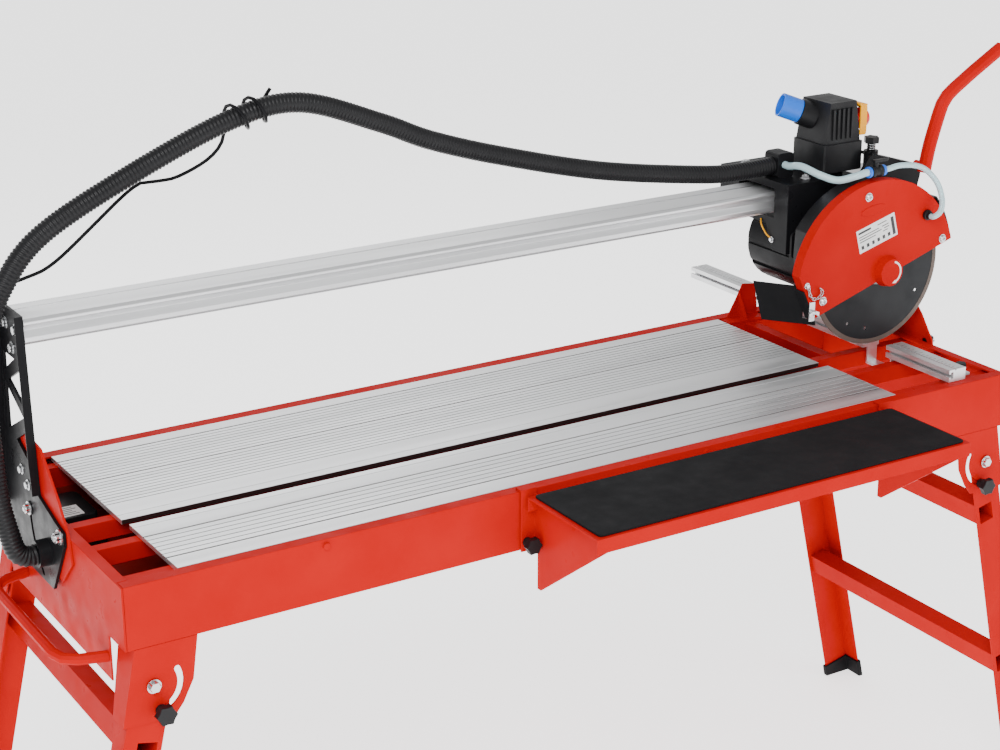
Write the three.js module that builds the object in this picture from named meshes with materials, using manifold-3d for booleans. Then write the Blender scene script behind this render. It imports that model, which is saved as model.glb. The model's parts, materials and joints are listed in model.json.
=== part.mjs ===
// A large wet tile cutter: a ribbed aluminium deck on a welded frame with two folding leg frames, and a
// tilting bridge whose rail carries a sliding saw head. Millimetres, +Z up. The shapes below are written in
// the deck's frame: X from the deck panels' left end, Y = 0 on the cutting line (+ to the rear), Z = 0 on
// top of the deck. The last lines move the whole machine so that its origin is the middle of its footprint.
import * as THREE from 'three';
import { mergeVertices } from 'three/addons/utils/BufferGeometryUtils.js';
import Module from 'manifold-3d';

const wasm = await Module();
wasm.setup();

// ---------- driving dimensions ----------
const GAP = 0.3;                    // between pieces that touch
const SHEET = 3;                    // folded sheet steel

const DECK_LENGTH = 1400;
const PANEL_THICK = 8;
const SLOT_HALF = 11;               // half the gap that the blade runs in
const REAR_PANEL_EDGE = 325;
const FRONT_PANEL_EDGE = -199;

const FRAME_LEFT = -94;
const FRAME_RIGHT = 1656;
const FRONT_FACE = -222.5;
const REAR_FACE = 350;
const BEAM_DEPTH = 103;

const SPREAD = THREE.MathUtils.degToRad(13.2);   // the legs lean outwards
const FLOOR = -911;
const HINGE_Z = -168;
const LEFT_HINGE_X = -54;
const RIGHT_HINGE_X = 1618;
const LOCK_RADIUS = 43;             // leg lock stud to leg hinge

const BLADE_X = 1519;
const BLADE_Z = 172.5;
const BLADE_RADIUS = 150;
const PLUNGE_X = 1371;              // pivot of the head on its carriage
const PLUNGE_Z = 228;

const RAIL_FRONT = 105;
const RAIL_BACK = 198;
const RAIL_TOP = 318;
const RAIL_BOTTOM = 277;

const TILT_LOCK_RADIUS = 134;       // mitre slot to tilt axis, which is the line Y = 0, Z = 0
const COLUMN_THICK = 5;
const GUSSET_THICK = 4;

// ---------- materials ----------
const paint = (color, roughness = 0.4, metalness = 0) =>
  new THREE.MeshStandardMaterial({ color, roughness, metalness });
const finishes = {
  red: () => paint('#cf3a2b', 0.35),
  darkRed: () => paint('#8f1f18', 0.5),
  black: () => paint('#1c1d1f', 0.45),
  aluminium: () => paint('#d5d8da', 0.35, 0.9),
  steel: () => paint('#b9bcc0', 0.3, 1),
  darkSteel: () => paint('#2f3133', 0.5, 0.6),
  plastic: () => paint('#212224', 0.55),
  rubber: () => paint('#18191a', 0.85),
  yellow: () => paint('#f2a900', 0.45),
  redPlastic: () => paint('#c81e1e', 0.35),
  clear: () => paint('#dfe9ea', 0.15),
};

// ---------- from three.js geometry to solids and back ----------
function solid(geometry, matrix) {
  const shape = geometry.clone();
  if (matrix) shape.applyMatrix4(matrix);
  for (const key of Object.keys(shape.attributes)) {
    if (key !== 'position') shape.deleteAttribute(key);
  }
  const merged = mergeVertices(shape, 1e-4);
  return new wasm.Manifold(new wasm.Mesh({
    numProp: 3,
    vertProperties: Float32Array.from(merged.attributes.position.array),
    triVerts: Uint32Array.from(merged.index.array),
  }));
}

const join = (...solids) => solids.reduce((all, next) => all.add(next));
const cut = (from, ...tools) => tools.reduce((left, tool) => left.subtract(tool), from);

function meshOf(name, shape, finish) {
  const { vertProperties, triVerts } = shape.getMesh();
  const geometry = new THREE.BufferGeometry();
  geometry.setAttribute('position', new THREE.BufferAttribute(Float32Array.from(vertProperties), 3));
  geometry.setIndex(new THREE.BufferAttribute(Uint32Array.from(triVerts), 1));
  geometry.computeVertexNormals();
  const mesh = new THREE.Mesh(geometry, finishes[finish]());
  mesh.name = name;
  return mesh;
}

// ---------- primitive shapes ----------
const between = (a, b) => [Math.min(a, b), Math.max(a, b)];

function box(xs, ys, zs, matrix) {
  const [x0, x1] = between(...xs);
  const [y0, y1] = between(...ys);
  const [z0, z1] = between(...zs);
  const geometry = new THREE.BoxGeometry(x1 - x0, y1 - y0, z1 - z0);
  geometry.translate((x0 + x1) / 2, (y0 + y1) / 2, (z0 + z1) / 2);
  return solid(geometry, matrix);
}

// Turns a geometry made along +Z so that it lies along the named axis.
const ALONG = {
  x: new THREE.Matrix4().makeBasis(
    new THREE.Vector3(0, 1, 0), new THREE.Vector3(0, 0, 1), new THREE.Vector3(1, 0, 0)),
  y: new THREE.Matrix4().makeBasis(
    new THREE.Vector3(1, 0, 0), new THREE.Vector3(0, 0, 1), new THREE.Vector3(0, -1, 0)),
  z: new THREE.Matrix4(),
};

// A rod along an axis: centre is its middle's place across the axis, span its two ends along it.
function rod(axis, centre, radius, span, sides = 32, endRadius = radius, matrix = null) {
  const [low, high] = between(...span);
  const geometry = new THREE.CylinderGeometry(endRadius, radius, high - low, sides);
  geometry.rotateX(Math.PI / 2);
  const middle = (low + high) / 2;
  if (axis === 'x') {
    geometry.rotateY(Math.PI / 2);
    geometry.translate(middle, centre[0], centre[1]);
  } else if (axis === 'y') {
    geometry.rotateX(-Math.PI / 2);
    geometry.translate(centre[0], middle, centre[1]);
  } else {
    geometry.translate(centre[0], centre[1], middle);
  }
  return solid(geometry, matrix);
}

const outlineOf = (points) => new THREE.Shape(points.map(([a, b]) => new THREE.Vector2(a, b)));

// A flat outline pushed along an axis. Its two coordinates are (Y, Z) for x, (X, Z) for y and (X, Y) for z.
function prism(axis, outline, span, holes = [], matrix = null) {
  const [low, high] = between(...span);
  const shape = Array.isArray(outline) ? outlineOf(outline) : outline;
  const geometry = new THREE.ExtrudeGeometry(shape, {
    depth: high - low, bevelEnabled: false, curveSegments: 3,
  });
  geometry.applyMatrix4(ALONG[axis]);
  if (axis === 'x') geometry.translate(low, 0, 0);
  if (axis === 'y') geometry.translate(0, high, 0);
  if (axis === 'z') geometry.translate(0, 0, low);
  return cut(solid(geometry, matrix), ...holes.map((hole) => prism(axis, hole, [low - 1, high + 1], [], matrix)));
}

// An outline with round corners, from its sharp corners.
function rounded(points, radius) {
  const shape = new THREE.Shape();
  points.forEach((point, i) => {
    const corner = new THREE.Vector2(...point);
    const before = new THREE.Vector2(...points.at(i - 1));
    const after = new THREE.Vector2(...points[(i + 1) % points.length]);
    const start = corner.clone().add(before.sub(corner).setLength(radius));
    const end = corner.clone().add(after.sub(corner).setLength(radius));
    if (i === 0) shape.moveTo(start.x, start.y);
    else shape.lineTo(start.x, start.y);
    shape.quadraticCurveTo(corner.x, corner.y, end.x, end.y);
  });
  return shape;
}

const CIRCLE_STEPS = 16;
const ARC_STEPS = 12;

// Points along an arc, without its last one.
function arc(centre, radius, fromDeg, toDeg, steps) {
  const points = [];
  for (let i = 0; i < steps; i += 1) {
    const angle = THREE.MathUtils.degToRad(fromDeg + ((toDeg - fromDeg) * i) / steps);
    points.push([centre[0] + radius * Math.cos(angle), centre[1] + radius * Math.sin(angle)]);
  }
  return points;
}

const circle = (x, y, radius) => arc([x, y], radius, 0, 360, CIRCLE_STEPS);

const rectangle = (x0, x1, y0, y1) => [[x0, y0], [x1, y0], [x1, y1], [x0, y1]];

// A curved slot round a centre, from one angle to another in degrees, with round ends.
function arcSlot(centre, radius, width, fromDeg, toDeg) {
  const half = width / 2;
  const [start] = arc(centre, radius, fromDeg, toDeg, 1);
  const [end] = arc(centre, radius, toDeg, fromDeg, 1);
  return [
    ...arc(centre, radius + half, fromDeg, toDeg, ARC_STEPS),
    ...arc(end, half, toDeg, toDeg + 180, 5),
    ...arc(centre, radius - half, toDeg, fromDeg, ARC_STEPS),
    ...arc(start, half, fromDeg + 180, fromDeg + 360, 5),
  ];
}

// A round bar or hose along a smooth curve through the points.
function tube(points, radius, sides, steps, tension = 0.5) {
  const curve = new THREE.CatmullRomCurve3(
    points.map((p) => new THREE.Vector3(...p)), false, 'catmullrom', tension);
  return solid(sweep(curve, radius, sides, steps));
}

function sweep(curve, radius, sides, steps) {
  const section = [];
  for (let i = 0; i < sides; i += 1) {
    const angle = (i / sides) * Math.PI * 2;
    section.push([radius * Math.cos(angle), radius * Math.sin(angle)]);
  }
  return new THREE.ExtrudeGeometry(outlineOf(section), { steps, extrudePath: curve });
}

// A round bar with straight runs and bent corners.
function bentBar(points, radius, bend, sides, steps) {
  const path = new THREE.CurvePath();
  const corners = points.map((p) => new THREE.Vector3(...p));
  let from = corners[0];
  for (let i = 1; i < corners.length - 1; i += 1) {
    const start = corners[i].clone().add(corners[i - 1].clone().sub(corners[i]).setLength(bend));
    const end = corners[i].clone().add(corners[i + 1].clone().sub(corners[i]).setLength(bend));
    path.add(new THREE.LineCurve3(from, start));
    path.add(new THREE.QuadraticBezierCurve3(start, corners[i], end));
    from = end;
  }
  path.add(new THREE.LineCurve3(from, corners.at(-1)));
  return solid(sweep(path, radius, sides, steps));
}

// A turned piece: its profile is (radius, height) pairs that start and end on the axis, along +Z.
function turned(profile, sides, matrix) {
  const points = profile.map(([r, h]) => new THREE.Vector2(r, h));
  const geometry = new THREE.LatheGeometry(points, sides);
  geometry.rotateX(Math.PI / 2);
  return solid(geometry, matrix);
}

const machine = new THREE.Group();
const add = (name, shape, finish) => machine.add(meshOf(name, shape, finish));

// ---------- the welded frame ----------
const INNER_LEFT = FRAME_LEFT + SHEET + GAP;
const INNER_RIGHT = FRAME_RIGHT - SHEET - GAP;
const LIP = 22.5;                   // the frame's folded top edge
const SEAT = -PANEL_THICK - GAP;    // the panels' supports
const SKIRT_FRONT = -158;           // the end wall hangs lower between these two
const SKIRT_BACK = 286;
const BEAM_WIDE = 56.5;
const SUPPORT = 22;                 // the ledge that a deck panel rests on

// A beam's folded section, open at the top beside the ledge. inwards is +1 for the front beam.
function beam(face, lip, inwards) {
  const y = (reach) => face + inwards * reach;
  return prism('x', [
    [y(0), 0], [y(0), -BEAM_DEPTH], [y(BEAM_WIDE), -BEAM_DEPTH], [y(BEAM_WIDE), SEAT],
    [y(BEAM_WIDE - SUPPORT), SEAT], [y(BEAM_WIDE - SUPPORT), SEAT - SHEET],
    [y(BEAM_WIDE - SHEET), SEAT - SHEET], [y(BEAM_WIDE - SHEET), -BEAM_DEPTH + SHEET],
    [y(SHEET), -BEAM_DEPTH + SHEET], [y(SHEET), -SHEET], [y(lip), -SHEET], [y(lip), 0],
  ], [INNER_LEFT, INNER_RIGHT]);
}

function frontBeam() {
  const studs = [237, 959].map((x) => rod('y', [x, -11], 6, [FRONT_FACE + 1, FRONT_FACE - 5], 12));
  return join(beam(FRONT_FACE, LIP, 1), ...studs);
}

// The rear beam carries a folded bracket beside the fence, just past the deck's end.
function rearBeam() {
  const foot = box([1408, 1500], [296, 329], [SEAT - 1, -2]);
  const upright = prism('y', [
    [1424, -3], [1500, -3], [1500, 14], [1492, 60], [1462, 64], [1446, 34],
  ], [326, 329]);
  const rib = prism('x', [[296, -3], [329, -3], [329, 46], [323, 46]], [1452, 1455]);
  return join(beam(REAR_FACE, REAR_FACE - REAR_PANEL_EDGE - 0.5, -1), foot, upright, rib);
}

// An end wall with its folded top edge. It hangs lower between the leg brackets.
function endWall(side) {
  const outer = side < 0 ? FRAME_LEFT : FRAME_RIGHT;
  const skirt = -178;
  const wall = prism('x', [
    [FRONT_FACE, 0], [FRONT_FACE, -BEAM_DEPTH], [SKIRT_FRONT, -BEAM_DEPTH], [SKIRT_FRONT, skirt],
    [SKIRT_BACK, skirt], [SKIRT_BACK, -BEAM_DEPTH], [REAR_FACE, -BEAM_DEPTH], [REAR_FACE, 0],
  ], [outer, outer - side * SHEET]);
  const lip = box([outer, outer - side * 19], [FRONT_FACE, REAR_FACE], [-SHEET, 0]);
  const inside = [outer - side * SHEET, outer - side * 25];
  const clear = [
    box(inside, [FRONT_FACE - 1, FRONT_FACE + LIP + 0.5], [-SHEET - 1, 1]),
    box(inside, [REAR_PANEL_EDGE, REAR_FACE + 1], [-SHEET - 1, 1]),
  ];
  return cut(join(wall, lip), ...clear);
}

function hollowBar(ys, zs, xs, wall = 2) {
  const [y0, y1] = between(...ys);
  const [z0, z1] = between(...zs);
  const bore = rectangle(y0 + wall, y1 - wall, z0 + wall, z1 - wall);
  return prism('x', rectangle(y0, y1, z0, z1), xs, [bore]);
}

function crossBar(xs, ys, zs, wall = 2) {
  const [x0, x1] = between(...xs);
  const [z0, z1] = between(...zs);
  const bore = rectangle(x0 + wall, x1 - wall, z0 + wall, z1 - wall);
  return prism('y', rectangle(x0, x1, z0, z1), ys, [bore]);
}

const BAR_IN = 38;
const BAR_OUT = 60;
const BAR_DEEP = SEAT - 30;

add('front_beam', frontBeam(), 'red');
add('rear_beam', rearBeam(), 'red');
add('left_end_wall', endWall(-1), 'red');
add('right_end_wall', endWall(1), 'red');
add('slot_bar_rear', hollowBar([BAR_IN, BAR_OUT], [BAR_DEEP, SEAT], [INNER_LEFT, INNER_RIGHT]), 'red');
add('slot_bar_front', hollowBar([-BAR_OUT, -BAR_IN], [BAR_DEEP, SEAT], [INNER_LEFT, INNER_RIGHT]), 'red');
add('right_cross_bar',
  crossBar([1448, 1473], [BAR_OUT + GAP, REAR_FACE - BEAM_WIDE - GAP], [BAR_DEEP, SEAT]), 'red');

// ---------- deck panels ----------
// A panel's section: flat bands with ribbed stretches between them, all the way along X.
function deckPanel(edgeA, edgeB, ribbed, grooves, lines) {
  const [low, high] = between(edgeA, edgeB);
  const section = [[low, -PANEL_THICK], [high, -PANEL_THICK], [high, 0]];
  const notches = [];
  for (const [from, to, pitch] of ribbed) {
    for (let y = from; y <= to + 0.01; y += pitch) notches.push([y, 2.4, 1.6]);
  }
  grooves.forEach((y) => notches.push([y, 3.6, 2.6]));
  lines.forEach((y) => notches.push([y, 1.2, 0.8]));
  notches.sort((a, b) => b[0] - a[0]);
  for (const [y, width, depth] of notches) {
    section.push([y + width / 2, 0], [y + width / 2, -depth], [y - width / 2, -depth], [y - width / 2, 0]);
  }
  section.push([low, 0]);
  return section;
}

const rearSection = deckPanel(SLOT_HALF, REAR_PANEL_EDGE, [[80, 173, 11.6], [199, 282, 11.8]], [187, 294], [31]);
const frontSection = deckPanel(-SLOT_HALF, FRONT_PANEL_EDGE, [[-142, -83, 14.6]], [-68, -157], [-27]);
add('rear_deck_panel', prism('x', rearSection, [0, DECK_LENGTH]), 'aluminium');
add('front_deck_panel', prism('x', frontSection, [4, DECK_LENGTH + 4]), 'aluminium');

// ---------- water tank and pump ----------
const TANK_FLOOR = -101;
const TANK_RIM = -44;
const TANK_FRONT = FRONT_FACE + BEAM_WIDE + GAP;
const TANK_BACK = REAR_FACE - BEAM_WIDE - GAP;

function waterTank() {
  const outside = box([-86, 1440], [TANK_FRONT, TANK_BACK], [TANK_FLOOR, TANK_RIM]);
  const inside = box([-84, 1438], [TANK_FRONT + 2, TANK_BACK - 2], [TANK_FLOOR + 2, TANK_RIM + 1]);
  return cut(outside, inside);
}

function pump() {
  const base = TANK_FLOOR + 2 + GAP;
  const foot = box([-60, 26], [150, 276], [base, base + 14]);
  const motor = prism('z', rounded(rectangle(-52, 18, 160, 268), 12), [base + 13, -44]);
  const outlet = rod('z', [-34, 240], 7, [-45, -36], 16);
  return join(foot, motor, outlet);
}

add('water_tank', waterTank(), 'darkRed');
add('pump', pump(), 'plastic');

// The pump's hose: out of the top of the pump and over the rear beam's inner edge to the left end.
const PUMP_HOSE = [
  [-34, 240, -35.4], [-34, 240, -22], [-35, 250, -4], [-38, 268, 9], [-43, 292, 12], [-50, 315, 9],
  [-60, 334, 9],
];
add('pump_hose', tube(PUMP_HOSE, 7, 8, 16), 'rubber');

// ---------- tilt gussets, fixed to the end walls ----------
// The gusset's outline, in (Y, Z).
const GUSSET = [
  [20, -85], [-27, -39], [-20, 5], [15, 53], [80, 116], [150, 122], [232, 70], [300, 8], [300, -62],
  [210, -85],
];

function gusset(side) {
  const wall = side < 0 ? FRAME_LEFT : FRAME_RIGHT;
  const inner = wall + side * GAP;
  const outer = inner + side * GUSSET_THICK;
  const nutFrom = outer + side * (GAP * 2 + COLUMN_THICK + 1);
  const plate = prism('x', GUSSET, [inner, outer], [circle(0, 0, 7)]);
  const stud = rod('x', [TILT_LOCK_RADIUS, 0], 4, [outer - side, nutFrom + side * 10], 16);
  const washer = rod('x', [TILT_LOCK_RADIUS, 0], 11, [nutFrom, nutFrom + side * 2], 24);
  const nut = rod('x', [TILT_LOCK_RADIUS, 0], 8, [nutFrom + side, nutFrom + side * 8], 6);
  return join(plate, stud, washer, nut);
}

add('left_gusset', gusset(-1), 'red');
add('right_gusset', gusset(1), 'red');

// ---------- leg brackets ----------
const FRONT_HINGE_PLANE = FRONT_FACE;
const REAR_HINGE_PLANE = REAR_FACE;
const LEG_GAP = 0.6;
const FOLD_DEG = 103;
const KNOB_ANGLE = -78;             // lock stud from the hinge, seen with outwards to the left

const hingeX = (side) => (side < 0 ? LEFT_HINGE_X : RIGHT_HINGE_X);

// A bracket: a plate with the hinge hole and the lock's arc slot, and a flange on its slanted outer edge.
function legBracket(side, row) {
  const face = row === 'front' ? FRONT_HINGE_PLANE : REAR_HINGE_PLANE;
  const inwards = row === 'front' ? 1 : -1;
  const x = (u) => hingeX(side) + side * u;
  const top = -BEAM_DEPTH - GAP;
  const bottom = -226;
  const [outTop, outBottom] = [26, 51.5];
  const outline = [
    [outTop, top], [outBottom, bottom], [-30, bottom - 2], [-46, -208], [-64, -173], [-74, top],
  ].map(([u, z]) => [x(u), z]);
  const sweepDeg = FOLD_DEG + 0.5;
  const fromDeg = side < 0 ? KNOB_ANGLE : 180 - KNOB_ANGLE - sweepDeg;
  const slot = arcSlot([hingeX(side), HINGE_Z], LOCK_RADIUS, 10, fromDeg, fromDeg + sweepDeg);
  const plate = prism('y', outline, [face, face + inwards * SHEET], [slot, circle(hingeX(side), HINGE_Z, 6.5)]);
  const slab = prism('y', [
    [x(outTop), top], [x(outBottom), bottom], [x(outBottom - SHEET), bottom], [x(outTop - SHEET), top],
  ], [face, face + inwards * 70]);
  const sideView = prism('x', [
    [face, top], [face, bottom], [face + inwards * 42, bottom], [face + inwards * 62, top],
  ], [hingeX(side) - 90, hingeX(side) + 90]);
  return join(plate, slab.intersect(sideView));
}

// ---------- folding leg frames ----------
const LEG_INNER = -32;              // the web's edges, measured outwards from the hinge
const LEG_OUTER = 30;
const LEG_FLANGE = 42;
const FOOT_HIGH = 34;
const LEG_END = 14;                 // how far above the floor a leg's sheet ends
const CROSSBAR_DROPS = [92, 438];   // hinge to the top of each crossbar, along the leg
const CROSSBAR_HIGH = 40;

// Leans a shape made upright about the hinge of one side.
function lean(side) {
  return new THREE.Matrix4()
    .makeTranslation(hingeX(side), 0, HINGE_Z)
    .multiply(new THREE.Matrix4().makeRotationY(-side * SPREAD));
}

function legFrame(side) {
  const matrix = lean(side);
  const u = (a, b) => [side * a, side * b];
  const length = (HINGE_Z - FLOOR) / Math.cos(SPREAD);
  const bottom = -length + LEG_END;
  const faces = [
    { face: FRONT_HINGE_PLANE + SHEET + LEG_GAP, inwards: 1 },
    { face: REAR_HINGE_PLANE - SHEET - LEG_GAP, inwards: -1 },
  ];
  const parts = [];
  for (const { face, inwards } of faces) {
    const web = prism('y', rounded([
      [side * LEG_INNER, 14], [side * LEG_OUTER, 14], [side * LEG_OUTER, bottom], [side * LEG_INNER, bottom],
    ], 4), [face, face + inwards * SHEET], [], matrix);
    const flange = box(u(LEG_OUTER - SHEET, LEG_OUTER), [face, face + inwards * LEG_FLANGE], [bottom, 8], matrix);
    const outside = face - inwards * (SHEET + LEG_GAP + 1.2);
    const bolt = rod('y', [0, 0], 6, [face + inwards * 12, outside], 20, 6, matrix);
    const washer = rod('y', [0, 0], 11, [outside, outside - inwards * 2], 24, 11, matrix);
    const head = rod('y', [0, 0], 9, [outside - inwards, outside - inwards * 8], 6, 9, matrix);
    parts.push(web, flange, bolt, washer, head);
  }
  const webInner = [faces[0].face + SHEET - 0.5, faces[1].face - SHEET + 0.5];
  for (const drop of CROSSBAR_DROPS) {
    parts.push(box(u(-26, 10), webInner, [-drop - CROSSBAR_HIGH, -drop], matrix));
  }
  return join(...parts);
}

// A crossbar is a tube: this bores it out from the outside of both webs.
function legFrameBored(side) {
  const matrix = lean(side);
  const bores = CROSSBAR_DROPS.map((drop) => box(
    [side * -24, side * 8], [FRONT_HINGE_PLANE, REAR_HINGE_PLANE], [-drop - CROSSBAR_HIGH + 2, -drop - 2], matrix));
  return cut(legFrame(side), ...bores);
}

function foot(side, row) {
  const matrix = lean(side);
  const face = row === 'front' ? FRONT_HINGE_PLANE + SHEET + LEG_GAP : REAR_HINGE_PLANE - SHEET - LEG_GAP;
  const inwards = row === 'front' ? 1 : -1;
  const length = (HINGE_Z - FLOOR) / Math.cos(SPREAD);
  const wall = 4;
  const low = -length - 20;
  const high = -length + FOOT_HIGH;
  const xs = [side * (LEG_INNER - wall), side * (LEG_OUTER + wall)];
  const block = join(
    box(xs, [face - inwards * wall, face + inwards * (SHEET + wall)], [low, high], matrix),
    box([side * (LEG_OUTER - SHEET - wall), side * (LEG_OUTER + wall)],
      [face - inwards * wall, face + inwards * (LEG_FLANGE + wall)], [low, high], matrix));
  const bottom = -length + LEG_END - GAP;
  const pocket = join(
    box([side * (LEG_INNER - GAP), side * (LEG_OUTER + GAP)],
      [face - inwards * GAP, face + inwards * (SHEET + GAP)], [bottom, high + 5], matrix),
    box([side * (LEG_OUTER - SHEET - GAP), side * (LEG_OUTER + GAP)],
      [face - inwards * GAP, face + inwards * (LEG_FLANGE + GAP)], [bottom, high + 5], matrix));
  const ground = box([hingeX(side) - 600, hingeX(side) + 600], [-400, 400], [FLOOR - 100, FLOOR]);
  return cut(block, pocket, ground);
}

// A star knob on a stud along an axis. tip is the stud's end and back the knob's outer face.
function starKnob(axis, centre, tip, collar, back, radius, studRadius = 4) {
  const lobes = 6;
  const shape = new THREE.Shape();
  const steps = lobes * 2;
  for (let i = 0; i < steps; i += 1) {
    const angle = (i / steps) * Math.PI * 2;
    const r = radius * (0.9 + 0.1 * Math.cos(lobes * angle));
    const point = [centre[0] + r * Math.cos(angle), centre[1] + r * Math.sin(angle)];
    if (i === 0) shape.moveTo(...point);
    else shape.lineTo(...point);
  }
  const dir = Math.sign(back - tip);
  return join(
    rod(axis, centre, studRadius, [tip, collar + dir], 10),
    rod(axis, centre, radius * 0.55, [collar, back - dir * 8], 12),
    prism(axis, shape, [back - dir * 12, back]));
}

function legKnob(side, row) {
  const plane = row === 'front' ? FRONT_HINGE_PLANE : REAR_HINGE_PLANE;
  const out = row === 'front' ? -1 : 1;
  const angle = THREE.MathUtils.degToRad(side < 0 ? KNOB_ANGLE : 180 - KNOB_ANGLE);
  const centre = [hingeX(side) + LOCK_RADIUS * Math.cos(angle), HINGE_Z + LOCK_RADIUS * Math.sin(angle)];
  const legFace = plane - out * (SHEET + LEG_GAP);
  return starKnob('y', centre, legFace + out * GAP, plane + out * GAP, plane + out * 26, 17);
}

for (const [side, name] of [[-1, 'left'], [1, 'right']]) {
  for (const row of ['front', 'rear']) {
    add(`${name}_${row}_leg_bracket`, legBracket(side, row), 'red');
    add(`${name}_${row}_foot`, foot(side, row), 'rubber');
    add(`${name}_${row}_leg_knob`, legKnob(side, row), 'plastic');
  }
  add(`${name}_leg_frame`, legFrameBored(side), 'red');
}

// ---------- carry handle, on the left end wall ----------
function carryHandle() {
  const z = -142;
  const wall = FRAME_LEFT - GAP;
  const bar = bentBar([
    [wall + 8, -146, z], [wall - 66, -126, z], [wall - 66, 190, z], [wall + 8, 210, z],
  ], 9, 34, 10, 18);
  return cut(bar, box([wall, wall + 40], [-200, 260], [z - 20, z + 20]));
}

add('carry_handle', carryHandle(), 'red');

// ---------- side tray ----------
const TRAY_LEFT = 592;
const TRAY_RIGHT = 1362;
const TRAY_TOP = -6;
const TRAY_BACK = -236;
const TRAY_FRONT = -436;
const TRAY_KNOB_Z = -87;
const HOOK_BACK = FRONT_FACE - 3;   // the hooks' plates, just clear of the beam

function tray() {
  const sheet = box([TRAY_LEFT, TRAY_RIGHT], [TRAY_FRONT, TRAY_BACK], [TRAY_TOP - SHEET, TRAY_TOP]);
  const lip = box([TRAY_LEFT, TRAY_RIGHT], [TRAY_FRONT, TRAY_FRONT + SHEET], [TRAY_TOP - 25, TRAY_TOP - 1]);
  const rear = box([TRAY_LEFT, TRAY_RIGHT], [TRAY_BACK - SHEET, TRAY_BACK], [TRAY_TOP - 25, TRAY_TOP - 1]);
  const parts = [sheet, lip, rear];
  for (const [edge, inwards] of [[TRAY_LEFT, 1], [TRAY_RIGHT, -1]]) {
    const x = (reach) => edge + inwards * reach;
    const side = [x(19), x(22)];
    parts.push(prism('x', [
      [TRAY_FRONT + 1, TRAY_TOP - 1], [TRAY_FRONT + 1, TRAY_TOP - 25], [TRAY_BACK - 10, -172],
      [TRAY_BACK, -172], [TRAY_BACK, -104], [HOOK_BACK, -104], [HOOK_BACK, TRAY_TOP - 1],
    ], side));
    const plate = prism('y', rectangle(...between(x(-7), x(22)), -104, 4), [HOOK_BACK - SHEET, HOOK_BACK],
      [circle(x(3), TRAY_KNOB_Z, 4.6)]);
    const strap = box([x(-7), x(22)], [HOOK_BACK - SHEET, FRONT_FACE + 12], [0.5, 4]);
    parts.push(plate, strap);
  }
  return join(...parts);
}

add('tray', tray(), 'red');
add('tray_mat', prism('z', rounded(rectangle(TRAY_LEFT + 8, TRAY_RIGHT - 8, TRAY_FRONT + 6, TRAY_BACK - 6), 8),
  [TRAY_TOP + GAP, TRAY_TOP + 4]), 'rubber');
add('tray_knob', starKnob('y', [TRAY_LEFT + 3, TRAY_KNOB_Z], FRONT_FACE - GAP, HOOK_BACK - SHEET - GAP,
  FRONT_FACE - 32, 15), 'plastic');

// ---------- fence ----------
const FENCE_BOTTOM = 0.5;
const FENCE_TOP = 24;
const FENCE_LEFT = 1528;
const FENCE_RIGHT = 1568;
const FENCE_FRONT = -205;
const FENCE_BACK = 587;
const NOTCH = 32;                   // the blade passes here, this far to each side of the cutting line
const LINK_DEPTH = -34;             // underside of the link that joins the fence below the blade
const FENCE_KNOBS = [[1582, -178], [1582, 72]];

// The fence: an extruded bar with a T-slot on its left face, cut away under the blade, where a bent strap
// that hangs between the slot bars holds its two halves together.
function fence() {
  const [left, right] = [FENCE_LEFT, FENCE_RIGHT];
  const bar = prism('y', [
    [left, FENCE_BOTTOM], [right, FENCE_BOTTOM], [right, FENCE_TOP], [left + 17, FENCE_TOP],
    [left + 17, FENCE_TOP - 2], [left + 14, FENCE_TOP - 2], [left + 14, FENCE_TOP], [left, FENCE_TOP],
    [left, 16], [left + 4, 16], [left + 4, 19], [left + 10, 19], [left + 10, 7], [left + 4, 7], [left + 4, 10],
    [left, 10],
  ], [FENCE_FRONT, FENCE_BACK]);
  const notch = box([left - 1, right + 1], [-NOTCH, NOTCH], [FENCE_BOTTOM - 1, FENCE_TOP + 1]);
  const strap = prism('x', [
    [-NOTCH - 3.5, 6], [-NOTCH - 3.5, LINK_DEPTH], [NOTCH + 3.5, LINK_DEPTH], [NOTCH + 3.5, 6], [NOTCH, 6],
    [NOTCH, LINK_DEPTH + 4], [-NOTCH, LINK_DEPTH + 4], [-NOTCH, 6],
  ], [left + 12, right - 4]);
  const lugs = FENCE_KNOBS.map(([x, y]) => prism('z', rectangle(right - 1, x + 11, y - 13, y + 13),
    [FENCE_BOTTOM, 5], [circle(x, y, 4.3)]));
  return join(cut(bar, notch), strap, ...lugs);
}

// A low clamp knob on a lug of the fence.
function fenceKnob([x, y]) {
  return starKnob('z', [x, y], -6, 5 + GAP, 22, 10, 3.6);
}

add('fence', fence(), 'aluminium');
add('fence_knob_front', fenceKnob(FENCE_KNOBS[0]), 'plastic');
add('fence_knob_rear', fenceKnob(FENCE_KNOBS[1]), 'plastic');

// ---------- bridge: two columns and the rail ----------
const COLUMN_OUTLINE = [
  [106, 324], [95, 93], [90, 36], [16, 16], [-14, 10], [-14, -12], [50, -108], [164, -108], [225, -48],
  [253, -31], [214, 197], [210, 324],
];
const COLUMN_HOLES = [
  [[203, 244], [150, 244], [204, 212]],
  [[112, 240], [188, 200], [109, 164]],
  [[205, 192], [128, 153], [208, 112]],
  [[106, 140], [172, 104], [102, 74]],
];
const COLUMN_FRONT_WIDE = 9;        // how far the folded edges stand out from the web
const COLUMN_BACK_WIDE = 28;
const EDGE = 4;
const RAIL_LEFT = FRAME_LEFT - GUSSET_THICK - GAP * 2;
const RAIL_RIGHT = FRAME_RIGHT + GUSSET_THICK + GAP * 2;
const GLAND = [62, -48];            // where the conduit enters the left column, (Y, Z)

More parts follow.
